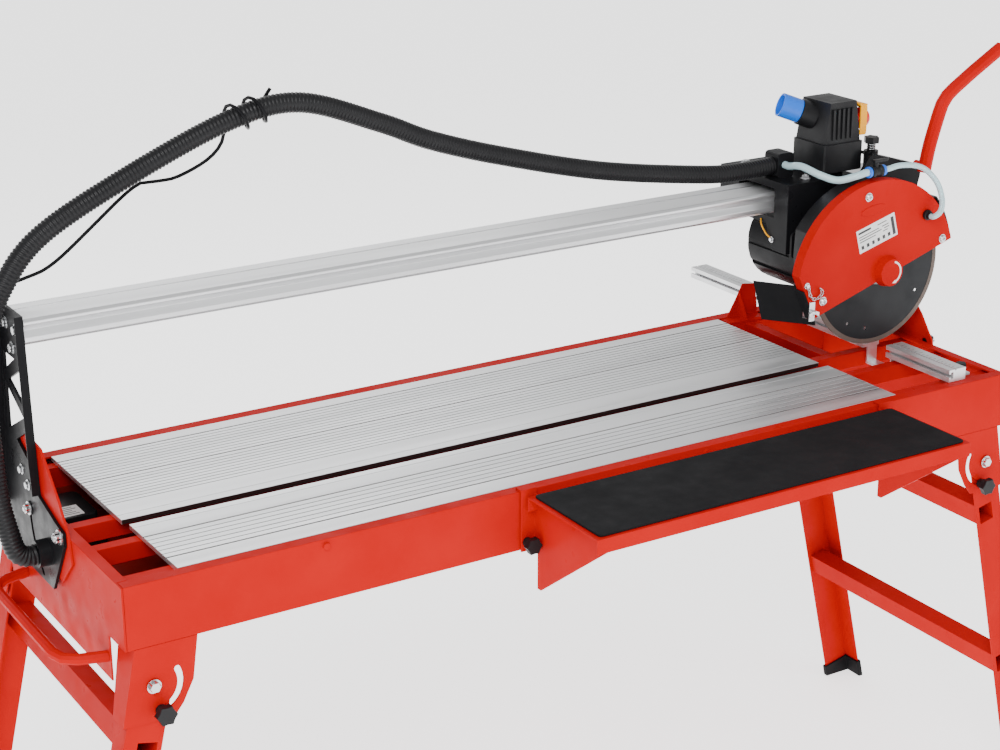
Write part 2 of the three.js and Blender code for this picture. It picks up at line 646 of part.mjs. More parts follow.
// A strip of the given thickness along a run of outline points, on the side towards (aimY, aimZ).
function edgeStrip(points, thickness, aim, span) {
  const inner = points.map(([y, z]) => {
    const toward = new THREE.Vector2(aim[0] - y, aim[1] - z).setLength(thickness);
    return [y + toward.x, z + toward.y];
  });
  return prism('x', [...points, ...inner.reverse()], span);
}

function column(side) {
  const wall = side < 0 ? FRAME_LEFT : FRAME_RIGHT;
  const inner = wall + side * (GUSSET_THICK + GAP * 3);
  const outer = inner + side * COLUMN_THICK;
  const slot = arcSlot([0, 0], TILT_LOCK_RADIUS, 9.5, -46, 0.8);
  const web = prism('x', COLUMN_OUTLINE, [inner, outer], [slot, ...COLUMN_HOLES]);
  const front = edgeStrip([[106, 324], [95, 93], [90, 36]], EDGE, [160, 150],
    [outer - side, outer + side * COLUMN_FRONT_WIDE]);
  const back = edgeStrip([[253, -31], [214, 197], [210, 324]], EDGE, [150, 150],
    [outer - side, outer + side * COLUMN_BACK_WIDE]);
  const parts = [web, front, back];
  parts.push(rod('x', [0, 0], 6.4, [wall + side * 0.6, outer + side], 20));
  parts.push(rod('x', [0, 0], 12, [outer - side, outer + side * 2.5], 24));
  parts.push(rod('x', [0, 0], 9.5, [outer + side, outer + side * 9], 6));
  for (const [y, z] of [[128, 297], [176, 297], [152, 262]]) {
    parts.push(rod('x', [y, z], 7, [outer - side, outer + side * 6], 6));
  }
  if (side < 0) parts.push(rod('x', GLAND, 22, [outer - side, outer + side * 20], 20));
  return join(...parts);
}

function rail() {
  const mid = (RAIL_TOP + RAIL_BOTTOM) / 2 + 2;
  const outline = [
    [RAIL_FRONT + 5, RAIL_BOTTOM], [RAIL_BACK - 5, RAIL_BOTTOM], [RAIL_BACK, RAIL_BOTTOM + 5],
    [RAIL_BACK, mid - 10], [RAIL_BACK - 8, mid], [RAIL_BACK, mid + 10], [RAIL_BACK, RAIL_TOP - 4],
    [RAIL_BACK - 5, RAIL_TOP], [167, RAIL_TOP], [167, RAIL_TOP - 2], [163, RAIL_TOP - 2], [163, RAIL_TOP],
    [RAIL_FRONT + 5, RAIL_TOP], [RAIL_FRONT, RAIL_TOP - 4], [RAIL_FRONT, mid + 10], [RAIL_FRONT + 8, mid],
    [RAIL_FRONT, mid - 10], [RAIL_FRONT, RAIL_BOTTOM + 5],
  ];
  const bores = [
    rectangle(RAIL_FRONT + 13, 149, RAIL_BOTTOM + 4, RAIL_TOP - 6),
    rectangle(153, RAIL_BACK - 13, RAIL_BOTTOM + 4, RAIL_TOP - 6),
  ];
  return prism('x', outline, [RAIL_LEFT, RAIL_RIGHT], bores);
}

add('left_column', column(-1), 'black');
add('right_column', column(1), 'black');
add('rail', rail(), 'aluminium');

// ---------- conduit and its support ----------
const CONDUIT_RADIUS = 17;
const CONDUIT_Y = 130;
const CONDUIT = [
  [1362, CONDUIT_Y, 362], [1289, CONDUIT_Y, 360], [1197, CONDUIT_Y, 367], [975, CONDUIT_Y, 404],
  [767, CONDUIT_Y, 458], [630, CONDUIT_Y, 502], [536, CONDUIT_Y, 543], [392, CONDUIT_Y, 593],
  [269, CONDUIT_Y, 579], [97, CONDUIT_Y, 513], [-52, 128, 440], [-121, 118, 372], [-158, 104, 300],
  [-170, 92, 220], [-171, 86, 130], [-169, 78, 50], [-161, 68, -8], [-153, 63.5, -38],
  [-138, GLAND[0], GLAND[1]], [-124.4, GLAND[0], GLAND[1]],
];
add('conduit', tube(CONDUIT, CONDUIT_RADIUS, 10, 48), 'plastic');

// A springy wire from the left column's top that ends in two turns round the conduit.
function supportWire() {
  const curve = new THREE.CatmullRomCurve3(CONDUIT.map((p) => new THREE.Vector3(...p)), false, 'catmullrom', 0.5);
  const loopRadius = CONDUIT_RADIUS + 5.5;
  const turns = 2;
  const points = [
    [-112, 208, 324.5], [-112, 208, 342], [-60, 196, 356], [-11, 180, 382], [111, 172, 478], [150, 168, 487],
    [188, 166, 490], [240, 162, 512], [266, 158, 540],
  ];
  const loopFrom = 0.555;
  const loopTo = 0.522;
  for (let i = 0; i <= 24; i += 1) {
    const along = loopFrom + (loopTo - loopFrom) * (i / 24);
    const centre = curve.getPointAt(along);
    const forward = curve.getTangentAt(along).negate();
    const sideways = new THREE.Vector3(0, 1, 0);
    const up = new THREE.Vector3().crossVectors(forward, sideways).normalize();
    const angle = (i / 24) * turns * Math.PI * 2;
    points.push(centre.clone()
      .addScaledVector(sideways, loopRadius * Math.cos(angle))
      .addScaledVector(up, loopRadius * Math.sin(angle)).toArray());
  }
  points.push([348, 146, 618]);
  return tube(points, 3, 8, 64);
}

add('support_wire', supportWire(), 'black');

// ---------- carriage ----------
const CAR_LEFT = 1347;
const CAR_RIGHT = 1510;
const CAR_FRONT = 58;
const CAR_BACK = 263;
const CAR_TOP = 341;
const CAR_BOTTOM = 268;
const EAR_BOTTOM = 208;
const EAR_RIGHT = 1398;
const CAR_PLATE = 4;
const ROLLER_X = [1382, 1476];
const ROLLER_Y = { front: RAIL_FRONT - 9.5, rear: RAIL_BACK + 9.5 };
const ROLLER_Z = (RAIL_TOP + RAIL_BOTTOM) / 2 + 2;
const ROLLER_RADIUS = 17;
const AXLE_RADIUS = 4.6;            // the rollers' bores are 5.4

function carriage() {
  const top = box([CAR_LEFT, CAR_RIGHT], [CAR_FRONT, CAR_BACK], [CAR_TOP - CAR_PLATE, CAR_TOP]);
  const front = prism('y', [
    [CAR_LEFT, CAR_TOP - 1], [CAR_LEFT, EAR_BOTTOM], [EAR_RIGHT, EAR_BOTTOM], [EAR_RIGHT, CAR_BOTTOM],
    [CAR_RIGHT, CAR_BOTTOM], [CAR_RIGHT, CAR_TOP - 1],
  ], [CAR_FRONT, CAR_FRONT + CAR_PLATE]);
  const back = box([CAR_LEFT, CAR_RIGHT], [CAR_BACK - CAR_PLATE, CAR_BACK], [CAR_BOTTOM, CAR_TOP - 1]);
  const window = [rectangle(98, 205, RAIL_BOTTOM - 6, RAIL_TOP + 8)];
  const left = prism('x', [
    [CAR_FRONT, EAR_BOTTOM], [CAR_FRONT + 40, EAR_BOTTOM], [CAR_FRONT + 62, CAR_BOTTOM - 12],
    [CAR_BACK, CAR_BOTTOM - 12], [CAR_BACK, CAR_TOP - 1], [CAR_FRONT, CAR_TOP - 1],
  ], [CAR_LEFT, CAR_LEFT + CAR_PLATE], window);
  const right = prism('x', rectangle(CAR_FRONT, CAR_BACK, CAR_BOTTOM, CAR_TOP - 1),
    [CAR_RIGHT - CAR_PLATE, CAR_RIGHT], [rectangle(98, 205, RAIL_BOTTOM - 6, RAIL_TOP + 8)]);
  const shelf = box([CAR_LEFT, EAR_RIGHT], [CAR_FRONT, CAR_FRONT + 40], [EAR_BOTTOM, EAR_BOTTOM + CAR_PLATE]);
  const parts = [top, front, back, left, right, shelf];
  for (const x of ROLLER_X) {
    for (const y of Object.values(ROLLER_Y)) {
      parts.push(rod('z', [x, y], AXLE_RADIUS, [ROLLER_Z - 12, CAR_TOP - 1], 12));
      parts.push(rod('z', [x, y], 8.5, [ROLLER_Z - 14, ROLLER_Z - 10.5], 12));
      if (y > RAIL_BACK) parts.push(rod('z', [x, y], 8, [CAR_TOP - 1, CAR_TOP + 6], 6));
    }
  }
  const clamp = prism('y', rounded(rectangle(1362.4, 1400, CAR_TOP - 1, 388), 8), [CONDUIT_Y - 20, CONDUIT_Y + 20]);
  const pivotBoss = rod('y', [PLUNGE_X, PLUNGE_Z], 15, [CAR_FRONT + 1, 52.4], 28);
  const pivotPin = rod('y', [PLUNGE_X, PLUNGE_Z], 7, [53, 44], 20);
  const pivotHead = rod('y', [PLUNGE_X, PLUNGE_Z], 11, [45.6, 38], 6);
  return join(...parts, clamp, pivotBoss, pivotPin, pivotHead);
}

function roller(x, y) {
  const below = rod('z', [x, y], 9.5, [ROLLER_Z - 8, ROLLER_Z - 0.5], 16, ROLLER_RADIUS);
  const rim = rod('z', [x, y], ROLLER_RADIUS, [ROLLER_Z - 0.6, ROLLER_Z + 0.6], 16);
  const above = rod('z', [x, y], ROLLER_RADIUS, [ROLLER_Z + 0.5, ROLLER_Z + 8], 16, 9.5);
  const hub = rod('z', [x, y], 8, [ROLLER_Z - 10, ROLLER_Z + 12], 12);
  return cut(join(below, rim, above, hub), rod('z', [x, y], 5.4, [ROLLER_Z - 20, ROLLER_Z + 20], 12));
}

add('carriage_housing', carriage(), 'black');
for (const [row, y] of Object.entries(ROLLER_Y)) {
  add(`roller_${row}_left`, roller(ROLLER_X[0], y), 'steel');
  add(`roller_${row}_right`, roller(ROLLER_X[1], y), 'steel');
}

// ---------- switch on the carriage ----------
const SWITCH_FLOOR = CAR_TOP + GAP;
const SWITCH_TOP = 479;
const FLAP_HINGE = [1524, 470];     // (X, Z)
const FLAP_Y = [70, 124];
const BUTTON = [97, 438];           // (Y, Z)
const BUTTON_FROM = 1512;           // the stem's inner end, in its bore
const BUTTON_BORE = 9.8;
const INLET_FROM = new THREE.Vector3(1436, 135, 454);
const INLET_DIRECTION = new THREE.Vector3(-0.85, 0.4, 0.35).normalize();

// A tapered box between two rectangles at two heights, as a four-sided cone squared to the axes.
function taperedBox(xs0, ys0, z0, xs1, ys1, z1) {
  const geometry = new THREE.BoxGeometry(1, 1, 1);
  const position = geometry.attributes.position;
  for (let i = 0; i < position.count; i += 1) {
    const high = position.getZ(i) > 0;
    const [xs, ys, z] = high ? [xs1, ys1, z1] : [xs0, ys0, z0];
    position.setXYZ(i, xs[position.getX(i) > 0 ? 1 : 0], ys[position.getY(i) > 0 ? 1 : 0], z);
  }
  return solid(geometry);
}

// Turns a shape made along +Z so that it starts at a point and runs in a direction.
function aimed(point, direction) {
  const turn = new THREE.Quaternion().setFromUnitVectors(new THREE.Vector3(0, 0, 1), direction);
  return new THREE.Matrix4().compose(point, turn, new THREE.Vector3(1, 1, 1));
}

function switchBox() {
  const base = prism('z', rounded(rectangle(1436, 1530, 66, 160), 7), [SWITCH_FLOOR + 7, 402]);
  const foot = prism('z', rounded(rectangle(1436, 1508, 92, 168), 5), [SWITCH_FLOOR, SWITCH_FLOOR + 8]);
  const upper = taperedBox([1441, 1524], [70, 156], 401, [1452, 1514], [73, 153], SWITCH_TOP);
  const ribs = [];
  for (let i = 0; i < 5; i += 1) {
    const x = 1456 + i * 11;
    ribs.push(box([x, x + 5], [68, 80], [410, SWITCH_TOP - 12]));
  }
  const socket = solid(new THREE.CylinderGeometry(25, 25, 30, 28).rotateX(Math.PI / 2).translate(0, 0, -9),
    aimed(INLET_FROM, INLET_DIRECTION));
  const boss = rod('x', BUTTON, 20, [1500, 1522], 24);
  const buttonBore = rod('x', BUTTON, BUTTON_BORE, [BUTTON_FROM - 7, 1524], 24);
  return cut(join(base, foot, upper, ...ribs, socket, boss), buttonBore);
}

function inlet() {
  const profile = [[0, 0], [22.5, 0], [22.5, 40], [19, 40], [19, 8], [4, 8], [4, 30], [0, 30]];
  return turned(profile, 20, aimed(INLET_FROM.clone().addScaledVector(INLET_DIRECTION, 6.4), INLET_DIRECTION));
}

function flap() {
  const [x, z] = FLAP_HINGE;
  const [front, back] = FLAP_Y;
  const plate = prism('x', rounded(rectangle(front, back, 411, z - 2), 6), [x + 12, x + 15], [circle(...BUTTON, 23)]);
  const cheeks = [[front, front + 3], [back - 3, back]].map((ys) => box([x - 0.5, x + 13], ys, [412, z]));
  const pin = rod('y', [x, z], 3, [front, back], 12);
  const cap = box([x, x + 15], [front, back], [z - 3, z]);
  return join(plate, ...cheeks, pin, cap);
}

function stopButton() {
  const profile = [[0, 0], [9, 0], [9, 26], [17, 26], [17, 36], [12, 42], [0, 43]];
  return turned(profile, 20, new THREE.Matrix4()
    .makeTranslation(BUTTON_FROM, BUTTON[0], BUTTON[1])
    .multiply(new THREE.Matrix4().makeRotationY(Math.PI / 2)));
}

add('switch_box', switchBox(), 'plastic');
add('power_inlet', inlet(), 'clear');
add('switch_flap', flap(), 'yellow');
add('stop_button', stopButton(), 'redPlastic');

// ---------- saw head ----------
const ARM_FRONT = 46;
const ARM_BACK = 51;
const MOTOR_RADIUS = 88;
const MOTOR_BACK = 285;
const GUARD_CENTRE = [1496, 160];
const GUARD_RADIUS = 190;
const GUARD_FRONT = -30;
const GUARD_SPLIT = -8;             // the front guard's rim ends here and the back guard's begins
const GUARD_BACK = 25;
const BACK_RADIUS = 186;
const VISOR_RADIUS = 208;
const AXIS = [BLADE_X, BLADE_Z];
const KNOB_AT = [1547, 63];         // depth knob, (X, Y)

const BELOW_GUARD = [[1250, 76.3], [1740, 231.7], [1740, 40], [1250, 40]];

// The front guard's side view: an arc over the blade and a straight left edge. Its lower edge is cut later.
function guardOutline(inset) {
  return [
    ...arc(GUARD_CENTRE, GUARD_RADIUS - inset, 4, 172, 24),
    [1309 + inset, 192], [1350 + inset, 104], [1352 + inset, 90], [1670, 90],
  ];
}

// The back guard's side view: it stands out as a visor at its upper right and leaves the lower left open.
function backOutline(inset) {
  return [
    ...arc(GUARD_CENTRE, VISOR_RADIUS - inset, 8, 44, 8),
    ...arc(GUARD_CENTRE, BACK_RADIUS - inset, 48, 152, 16),
    [1340 + inset, 215], [1352 + inset, 150], [1385 + inset, 90], [1670, 90],
  ];
}

// A shell closed on one side, with a rim of the given span and no floor below the guard's lower edge.
function guardShell(outline, plateSpan, rimSpan, wall) {
  const whole = [Math.min(...plateSpan, ...rimSpan), Math.max(...plateSpan, ...rimSpan)];
  const hollow = prism('y', outline(wall), [rimSpan[0] - 1, rimSpan[1] + 1]);
  const plate = prism('y', outline(0), plateSpan);
  return cut(join(cut(prism('y', outline(0), whole), hollow), plate),
    prism('y', BELOW_GUARD, [whole[0] - 1, whole[1] + 1]));
}

function guardFront() {
  const wall = 3;
  const inner = GUARD_FRONT + wall;
  const shell = guardShell(guardOutline, [GUARD_FRONT, inner], [inner, GUARD_SPLIT], wall);
  const hub = rod('y', AXIS, 26, [GUARD_FRONT - 16, GUARD_FRONT + 1], 32, 30);
  const hubHollow = rod('y', AXIS, 22, [GUARD_FRONT - 12, GUARD_SPLIT], 32);
  const screws = [[1465, 322], [1655, 215], [1367, 138]].map((at) => rod('y', at, 6, [GUARD_FRONT - 4, GUARD_FRONT + 1], 6));
  const elbow = rod('y', [1611, 268], 9, [GUARD_FRONT - 3, GUARD_FRONT + 1], 20);
  return join(cut(join(shell, hub), hubHollow), ...screws, elbow);
}

function guardBack() {
  const wall = 3;
  const shell = guardShell(backOutline, [GUARD_BACK, GUARD_BACK + wall], [GUARD_SPLIT + GAP, GUARD_BACK], wall);
  return cut(shell, rod('y', AXIS, 24, [0, 60], 20));
}

function headArm() {
  const plate = prism('y', rounded([
    [1350, 252], [1350, 204], [1392, 190], [1440, 128], [1520, 84], [1600, 128], [1640, 250], [1662, 330],
    [1640, 346], [1533, 379], [1498, 330], [1430, 262],
  ], 9), [ARM_FRONT, ARM_BACK], [circle(PLUNGE_X, PLUNGE_Z, 7.5)]);
  const cover = prism('y', [
    [1536, 380], [1660, 342], [1659, 336], [1535, 374],
  ], [ARM_FRONT + 0.8, 84]);
  const hub = rod('y', AXIS, 40, [GUARD_BACK + GAP * 2 + 3, ARM_FRONT + 1], 32);
  const knobBoss = rod('z', KNOB_AT, 14, [345, 382], 20);
  const knobBore = rod('z', KNOB_AT, 5.4, [330, 390], 16);
  return cut(join(plate, cover, hub, knobBoss), knobBore, rod('y', AXIS, 24, [0, 60], 28));
}

function motorHousing() {
  const body = rod('y', AXIS, MOTOR_RADIUS, [ARM_BACK + GAP, MOTOR_BACK - 8], 32);
  const end = rod('y', AXIS, MOTOR_RADIUS, [MOTOR_BACK - 8, MOTOR_BACK], 32, MOTOR_RADIUS - 8);
  const fins = [];
  for (let deg = 30; deg < 360; deg += 30) {
    const turn = new THREE.Matrix4().makeTranslation(AXIS[0], 0, AXIS[1])
      .multiply(new THREE.Matrix4().makeRotationY(THREE.MathUtils.degToRad(deg)));
    fins.push(box([MOTOR_RADIUS - 8, MOTOR_RADIUS + 8], [150, MOTOR_BACK], [-5, 5], turn));
  }
  const grooves = join(...fins).intersect(rod('y', AXIS, MOTOR_RADIUS + 5, [150, MOTOR_BACK], 40)
    .subtract(rod('y', AXIS, MOTOR_RADIUS - 4, [100, MOTOR_BACK + 5], 40)));
  const bore = rod('y', AXIS, 62, [70, MOTOR_BACK - 12], 20);
  const mouth = rod('y', AXIS, 18, [ARM_BACK - 1, 75], 16);
  return cut(join(body, end), grooves, bore, mouth);
}

function bladeShaft() {
  const spindle = rod('y', AXIS, 12, [-34, 262], 16);
  const backFlange = rod('y', AXIS, 32, [2, 10], 20);
  const frontFlange = rod('y', AXIS, 32, [-10, -2], 20);
  const nut = rod('y', AXIS, 17, [-26, -9], 6);
  const rotor = rod('y', AXIS, 55, [95, 235], 20);
  return join(spindle, backFlange, frontFlange, nut, rotor);
}

// The blade: a continuous rim, and a round bore over the spindle.
function blade() {
  const disc = rod('y', AXIS, BLADE_RADIUS - 9, [-1.2, 1.2], 24);
  const rim = cut(rod('y', AXIS, BLADE_RADIUS, [-1.5, 1.5], 40), rod('y', AXIS, BLADE_RADIUS - 10, [-3, 3], 24));
  return cut(join(disc, rim), rod('y', AXIS, 12.9, [-3, 3], 16));
}

function splashPlate() {
  return prism('z', [[1338, -7], [1293, 57], [1295.4, 58.7], [1340.4, -5.3]], [92, 165]);
}

function pullHandle() {
  const bar = bentBar([
    [1642, 18, 336], [1652, 18, 388], [1680, 18, 474], [1749, 18, 516], [1819, 18, 555],
  ], 13, 24, 10, 16);
  const stub = rod('y', [1646, 346], 8, [18, ARM_FRONT - GAP], 20);
  return join(bar, stub);
}

function depthKnob() {
  const stud = rod('z', KNOB_AT, 4.6, [335, 392], 16);
  return join(stud, starKnob('z', KNOB_AT, 382 + GAP, 382 + GAP, 408, 15, 5));
}

const WATER_HOSE = [
  [1378, 109.4, 366], [1378, 96, 366], [1382, 66, 371], [1398, 34, 360], [1420, 8, 352], [1443, -12, 360],
  [1462, -20, 366], [1486, -20, 366], [1512, -20, 366], [1548, -23, 370], [1590, -31, 362],
  [1620, -40, 334], [1630, -48, 302], [1624, -54, 280], [1612, -49, 268.3], [1611, -33.6, 268],
];
const VALVE_X = [1474, 1500];

function valve() {
  const block = box(VALVE_X, [-32, -8], [354, 378]);
  const neck = rod('z', [1487, -20], 5, [377, 384], 16);
  const lever = box([1480, 1516], [-25, -15], [383, 389]);
  const bore = rod('x', [-20, 366], 6.9, [VALVE_X[0] - 2, VALVE_X[1] + 2], 20);
  return cut(join(block, neck, lever), bore);
}

add('head_arm', headArm(), 'black');
add('motor_housing', motorHousing(), 'black');
add('guard_front', guardFront(), 'red');
add('guard_back', guardBack(), 'plastic');
add('splash_plate', splashPlate(), 'rubber');
add('blade', blade(), 'steel');
add('blade_shaft', bladeShaft(), 'darkSteel');
add('pull_handle', pullHandle(), 'red');
add('depth_knob', depthKnob(), 'plastic');
add('water_hose', tube(WATER_HOSE, 6, 8, 34), 'clear');
add('hose_valve', valve(), 'plastic');

// ---------- the origin: middle of the footprint, on the floor, without the cable and the hoses ----------
const FREE_RUNS = ['conduit', 'water_hose', 'pump_hose'];
const bounds = new THREE.Box3();
for (const mesh of machine.children) {
  if (!FREE_RUNS.includes(mesh.name)) bounds.expandByObject(mesh);
}
const middle = bounds.getCenter(new THREE.Vector3());
for (const mesh of machine.children) {
  mesh.geometry.translate(-middle.x, -middle.y, -bounds.min.z);
}

export default machine;
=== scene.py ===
"""Looks for a large wet tile cutter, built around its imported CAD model.

Sizes are in millimetres in the deck's frame (X from the deck panels' left end, Y = 0 on the cutting line,
Z = 0 on the deck), and place() turns them into metres in the model's own frame. The bridge tilts about this
frame's X axis."""

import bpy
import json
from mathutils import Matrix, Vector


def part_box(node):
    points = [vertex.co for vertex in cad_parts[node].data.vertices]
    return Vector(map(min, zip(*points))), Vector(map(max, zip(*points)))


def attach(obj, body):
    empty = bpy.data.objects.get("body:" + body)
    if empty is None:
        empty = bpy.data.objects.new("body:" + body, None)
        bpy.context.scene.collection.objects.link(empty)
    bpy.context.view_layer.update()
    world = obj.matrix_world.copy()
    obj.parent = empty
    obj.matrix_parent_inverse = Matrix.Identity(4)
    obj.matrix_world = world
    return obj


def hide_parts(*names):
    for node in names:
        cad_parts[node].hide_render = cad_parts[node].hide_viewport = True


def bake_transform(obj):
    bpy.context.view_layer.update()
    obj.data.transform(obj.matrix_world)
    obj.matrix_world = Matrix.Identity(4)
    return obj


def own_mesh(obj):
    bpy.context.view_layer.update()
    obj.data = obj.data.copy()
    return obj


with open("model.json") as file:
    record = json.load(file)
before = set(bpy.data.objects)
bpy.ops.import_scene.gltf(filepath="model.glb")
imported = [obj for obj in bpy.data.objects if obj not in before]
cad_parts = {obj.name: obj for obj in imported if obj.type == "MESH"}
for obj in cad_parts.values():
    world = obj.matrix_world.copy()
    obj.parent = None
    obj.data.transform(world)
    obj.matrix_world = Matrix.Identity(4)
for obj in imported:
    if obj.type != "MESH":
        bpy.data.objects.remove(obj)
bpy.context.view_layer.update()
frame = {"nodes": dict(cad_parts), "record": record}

import json
import math

import bmesh
import bpy
from mathutils import Matrix, Vector
from mathutils.geometry import tessellate_polygon

MM = 0.001
BODY_OF = {n: b for b, names in frame["record"]["behaviour"]["bodies"].items() for n in names}
SLOT_OF = {row["node"]: row["material_slot"] for row in frame["record"]["subparts"]}

# ---------- the deck's frame ----------
SLOT_HALF = 11
deck_low, deck_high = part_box("rear_deck_panel")
ORIGIN = Vector((deck_low.x, deck_low.y - SLOT_HALF * MM, deck_high.z))


def place(x, y, z):
    return ORIGIN + Vector((x, y, z)) * MM


def box_mm(node):
    """A CAD node's lowest and highest corners in the deck's frame, to a hundredth of a millimetre."""
    return [Vector([round(v / MM, 2) for v in corner - ORIGIN]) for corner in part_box(node)]


# ---------- camera ----------
CAMERA_AT = (-1034, -2805, 1281)
CAMERA_YAW = 0.550
CAMERA_PITCH = 0.341
CAMERA_ROLL = -0.004
CAMERA_LENS = 74.0
CAMERA_SENSOR = 36
CAMERA_REACH = 200


def make_camera():
    camera = bpy.data.objects.new("camera", bpy.data.cameras.new("camera"))
    bpy.context.scene.collection.objects.link(camera)
    camera.data.lens = CAMERA_LENS
    camera.data.sensor_width = CAMERA_SENSOR
    camera.data.clip_end = CAMERA_REACH
    turn = Matrix.Rotation(-CAMERA_YAW, 4, "Z") @ Matrix.Rotation(math.pi / 2 - CAMERA_PITCH, 4, "X")
    turn = turn @ Matrix.Rotation(CAMERA_ROLL, 4, "Z")
    camera.matrix_world = Matrix.Translation(place(*CAMERA_AT)) @ turn
    bpy.context.scene.camera = camera


make_camera()

# ---------- materials ----------
PATCH_SCALE, PATCH_DETAIL = 9.0, 5.0        # noise scales are in features per metre
GLOSS_SCALE, GLOSS_DETAIL = 26.0, 4.0
DIRT_SCALE, DIRT_DETAIL = 34.0, 6.0
DIRT_FROM, DIRT_TO = 0.62, 0.8              # the part of the dirt noise that shows
NOISE_LOW, NOISE_HIGH = 0.3, 0.7            # nearly all of a noise lies between these
GRAIN_DETAIL = 2.0
GRAIN_DEPTH = 0.0006
LEAST_ROUGH = 0.03
PLASTIC_IOR = 1.45
_materials = {}


def material(name, color, rough=0.5, metal=0.0, grain=220.0, bump=0.05, mottle=0.06, rough_spread=0.12,
             dirt=0.0, dirt_color=(0, 0, 0), stretch=None, transmission=0.0, shine=0.5):
    """A shader with fine surface grain, uneven gloss and, where dirt is above 0, dull marks in patches."""
    if name in _materials:
        return _materials[name]
    m = bpy.data.materials.new(name)
    m.use_nodes = True
    nodes, links = m.node_tree.nodes, m.node_tree.links
    shader = nodes["Principled BSDF"]
    shader.inputs["Metallic"].default_value = metal
    if transmission:
        shader.inputs["Transmission Weight"].default_value = transmission
        shader.inputs["IOR"].default_value = PLASTIC_IOR
    shader.inputs["Specular IOR Level"].default_value = shine
    where = nodes.new("ShaderNodeTexCoord")
    scale = nodes.new("ShaderNodeMapping")
    if stretch:
        scale.inputs["Scale"].default_value = stretch
    links.new(where.outputs["Object"], scale.inputs["Vector"])

    def noise(features, detail):
        node = nodes.new("ShaderNodeTexNoise")
        node.inputs["Scale"].default_value = features
        node.inputs["Detail"].default_value = detail
        links.new(scale.outputs["Vector"], node.inputs["Vector"])
        return node.outputs["Fac"]

    def spread(source, low, high):
        node = nodes.new("ShaderNodeMapRange")
        node.inputs["From Min"].default_value = NOISE_LOW
        node.inputs["From Max"].default_value = NOISE_HIGH
        node.inputs["To Min"].default_value = low
        node.inputs["To Max"].default_value = high
        links.new(source, node.inputs["Value"])
        return node.outputs["Result"]

    patches = noise(PATCH_SCALE, PATCH_DETAIL)
    mix = nodes.new("ShaderNodeMix")
    mix.data_type = "RGBA"
    mix.inputs["A"].default_value = (*[c * (1 - mottle) for c in color], 1)
    mix.inputs["B"].default_value = (*[min(1, c * (1 + mottle) + 0.003) for c in color], 1)
    links.new(spread(patches, 0, 1), mix.inputs["Factor"])
    tint = mix.outputs["Result"]
    if dirt:
        marks = nodes.new("ShaderNodeMix")
        marks.data_type = "RGBA"
        marks.inputs["B"].default_value = (*dirt_color, 1)
        shown = nodes.new("ShaderNodeMapRange")
        shown.inputs["From Min"].default_value = DIRT_FROM
        shown.inputs["From Max"].default_value = DIRT_TO
        shown.inputs["To Max"].default_value = dirt
        links.new(noise(DIRT_SCALE, DIRT_DETAIL), shown.inputs["Value"])
        links.new(shown.outputs["Result"], marks.inputs["Factor"])
        links.new(tint, marks.inputs["A"])
        tint = marks.outputs["Result"]
    links.new(tint, shader.inputs["Base Color"])
    low = max(LEAST_ROUGH, rough - rough_spread)
    high = min(1, rough + rough_spread)
    links.new(spread(noise(GLOSS_SCALE, GLOSS_DETAIL), low, high), shader.inputs["Roughness"])
    relief = nodes.new("ShaderNodeBump")
    relief.inputs["Strength"].default_value = bump
    relief.inputs["Distance"].default_value = GRAIN_DEPTH
    links.new(noise(grain, GRAIN_DETAIL), relief.inputs["Height"])
    links.new(relief.outputs["Normal"], shader.inputs["Normal"])
    _materials[name] = m
    return m


LOOKS = {
    "red_paint": dict(color=(0.45, 0.004, 0.003), rough=0.36, shine=0.02, grain=420, bump=0.1, mottle=0.05),
    "tank_paint": dict(color=(0.2, 0.006, 0.005), rough=0.5, grain=300, bump=0.2, dirt=0.15,
                       dirt_color=(0.1, 0.02, 0.015), shine=0.2),
    "black_paint": dict(color=(0.005, 0.005, 0.006), rough=0.36, grain=500, bump=0.12, shine=0.1),
    "aluminium": dict(color=(0.72, 0.725, 0.735), rough=0.4, metal=0.85, grain=160, bump=0.08,
                      stretch=(0.04, 1, 1), mottle=0.04),
    "steel": dict(color=(0.6, 0.61, 0.62), rough=0.26, metal=1.0, grain=260, bump=0.12),
    "dark_steel": dict(color=(0.16, 0.16, 0.165), rough=0.4, metal=1.0, grain=260, bump=0.12),
    "black_plastic": dict(color=(0.006, 0.006, 0.007), rough=0.42, grain=900, bump=0.2, shine=0.22),
    "rubber": dict(color=(0.006, 0.006, 0.007), rough=0.7, grain=700, bump=0.35, rough_spread=0.08,
                   shine=0.12),
    "blue_plastic": dict(color=(0.01, 0.14, 0.68), rough=0.32, grain=500, bump=0.06, shine=0.3),
    "yellow_plastic": dict(color=(0.85, 0.36, 0.001), rough=0.36, grain=500, bump=0.06, shine=0.2),
    "red_plastic": dict(color=(0.66, 0.008, 0.006), rough=0.28, grain=500, bump=0.05),
    "hose_plastic": dict(color=(0.56, 0.76, 0.8), rough=0.14, grain=300, bump=0.05, transmission=0.3),
    "blade_disc": dict(color=(0.007, 0.008, 0.01), rough=0.42, grain=240, bump=0.1, shine=0.2),
    "blade_rim": dict(color=(0.12, 0.09, 0.075), rough=0.62, metal=0.5, grain=1200, bump=0.6),
    "label": dict(color=(0.76, 0.76, 0.75), rough=0.4, grain=200, bump=0.02),
    # print on the labels and the scale, and painted shade in the screws' cross recesses
    "ink_and_recess_shade": dict(color=(0.015, 0.015, 0.017), rough=0.5, grain=200, bump=0.02),
    "white_mark": dict(color=(0.86, 0.8, 0.78), rough=0.4, grain=200, bump=0.02),
    # painted shade for the floors of grooves, the blade slot's edges and the motor's air slots
    "groove_shade": dict(color=(0.02, 0.006, 0.006), rough=0.7, grain=200, bump=0.05, shine=0.1),
    "rib_shade": dict(color=(0.16, 0.165, 0.17), rough=0.7, grain=200, bump=0.05, shine=0.1),
}


def look(name):
    return material(name, **LOOKS[name])


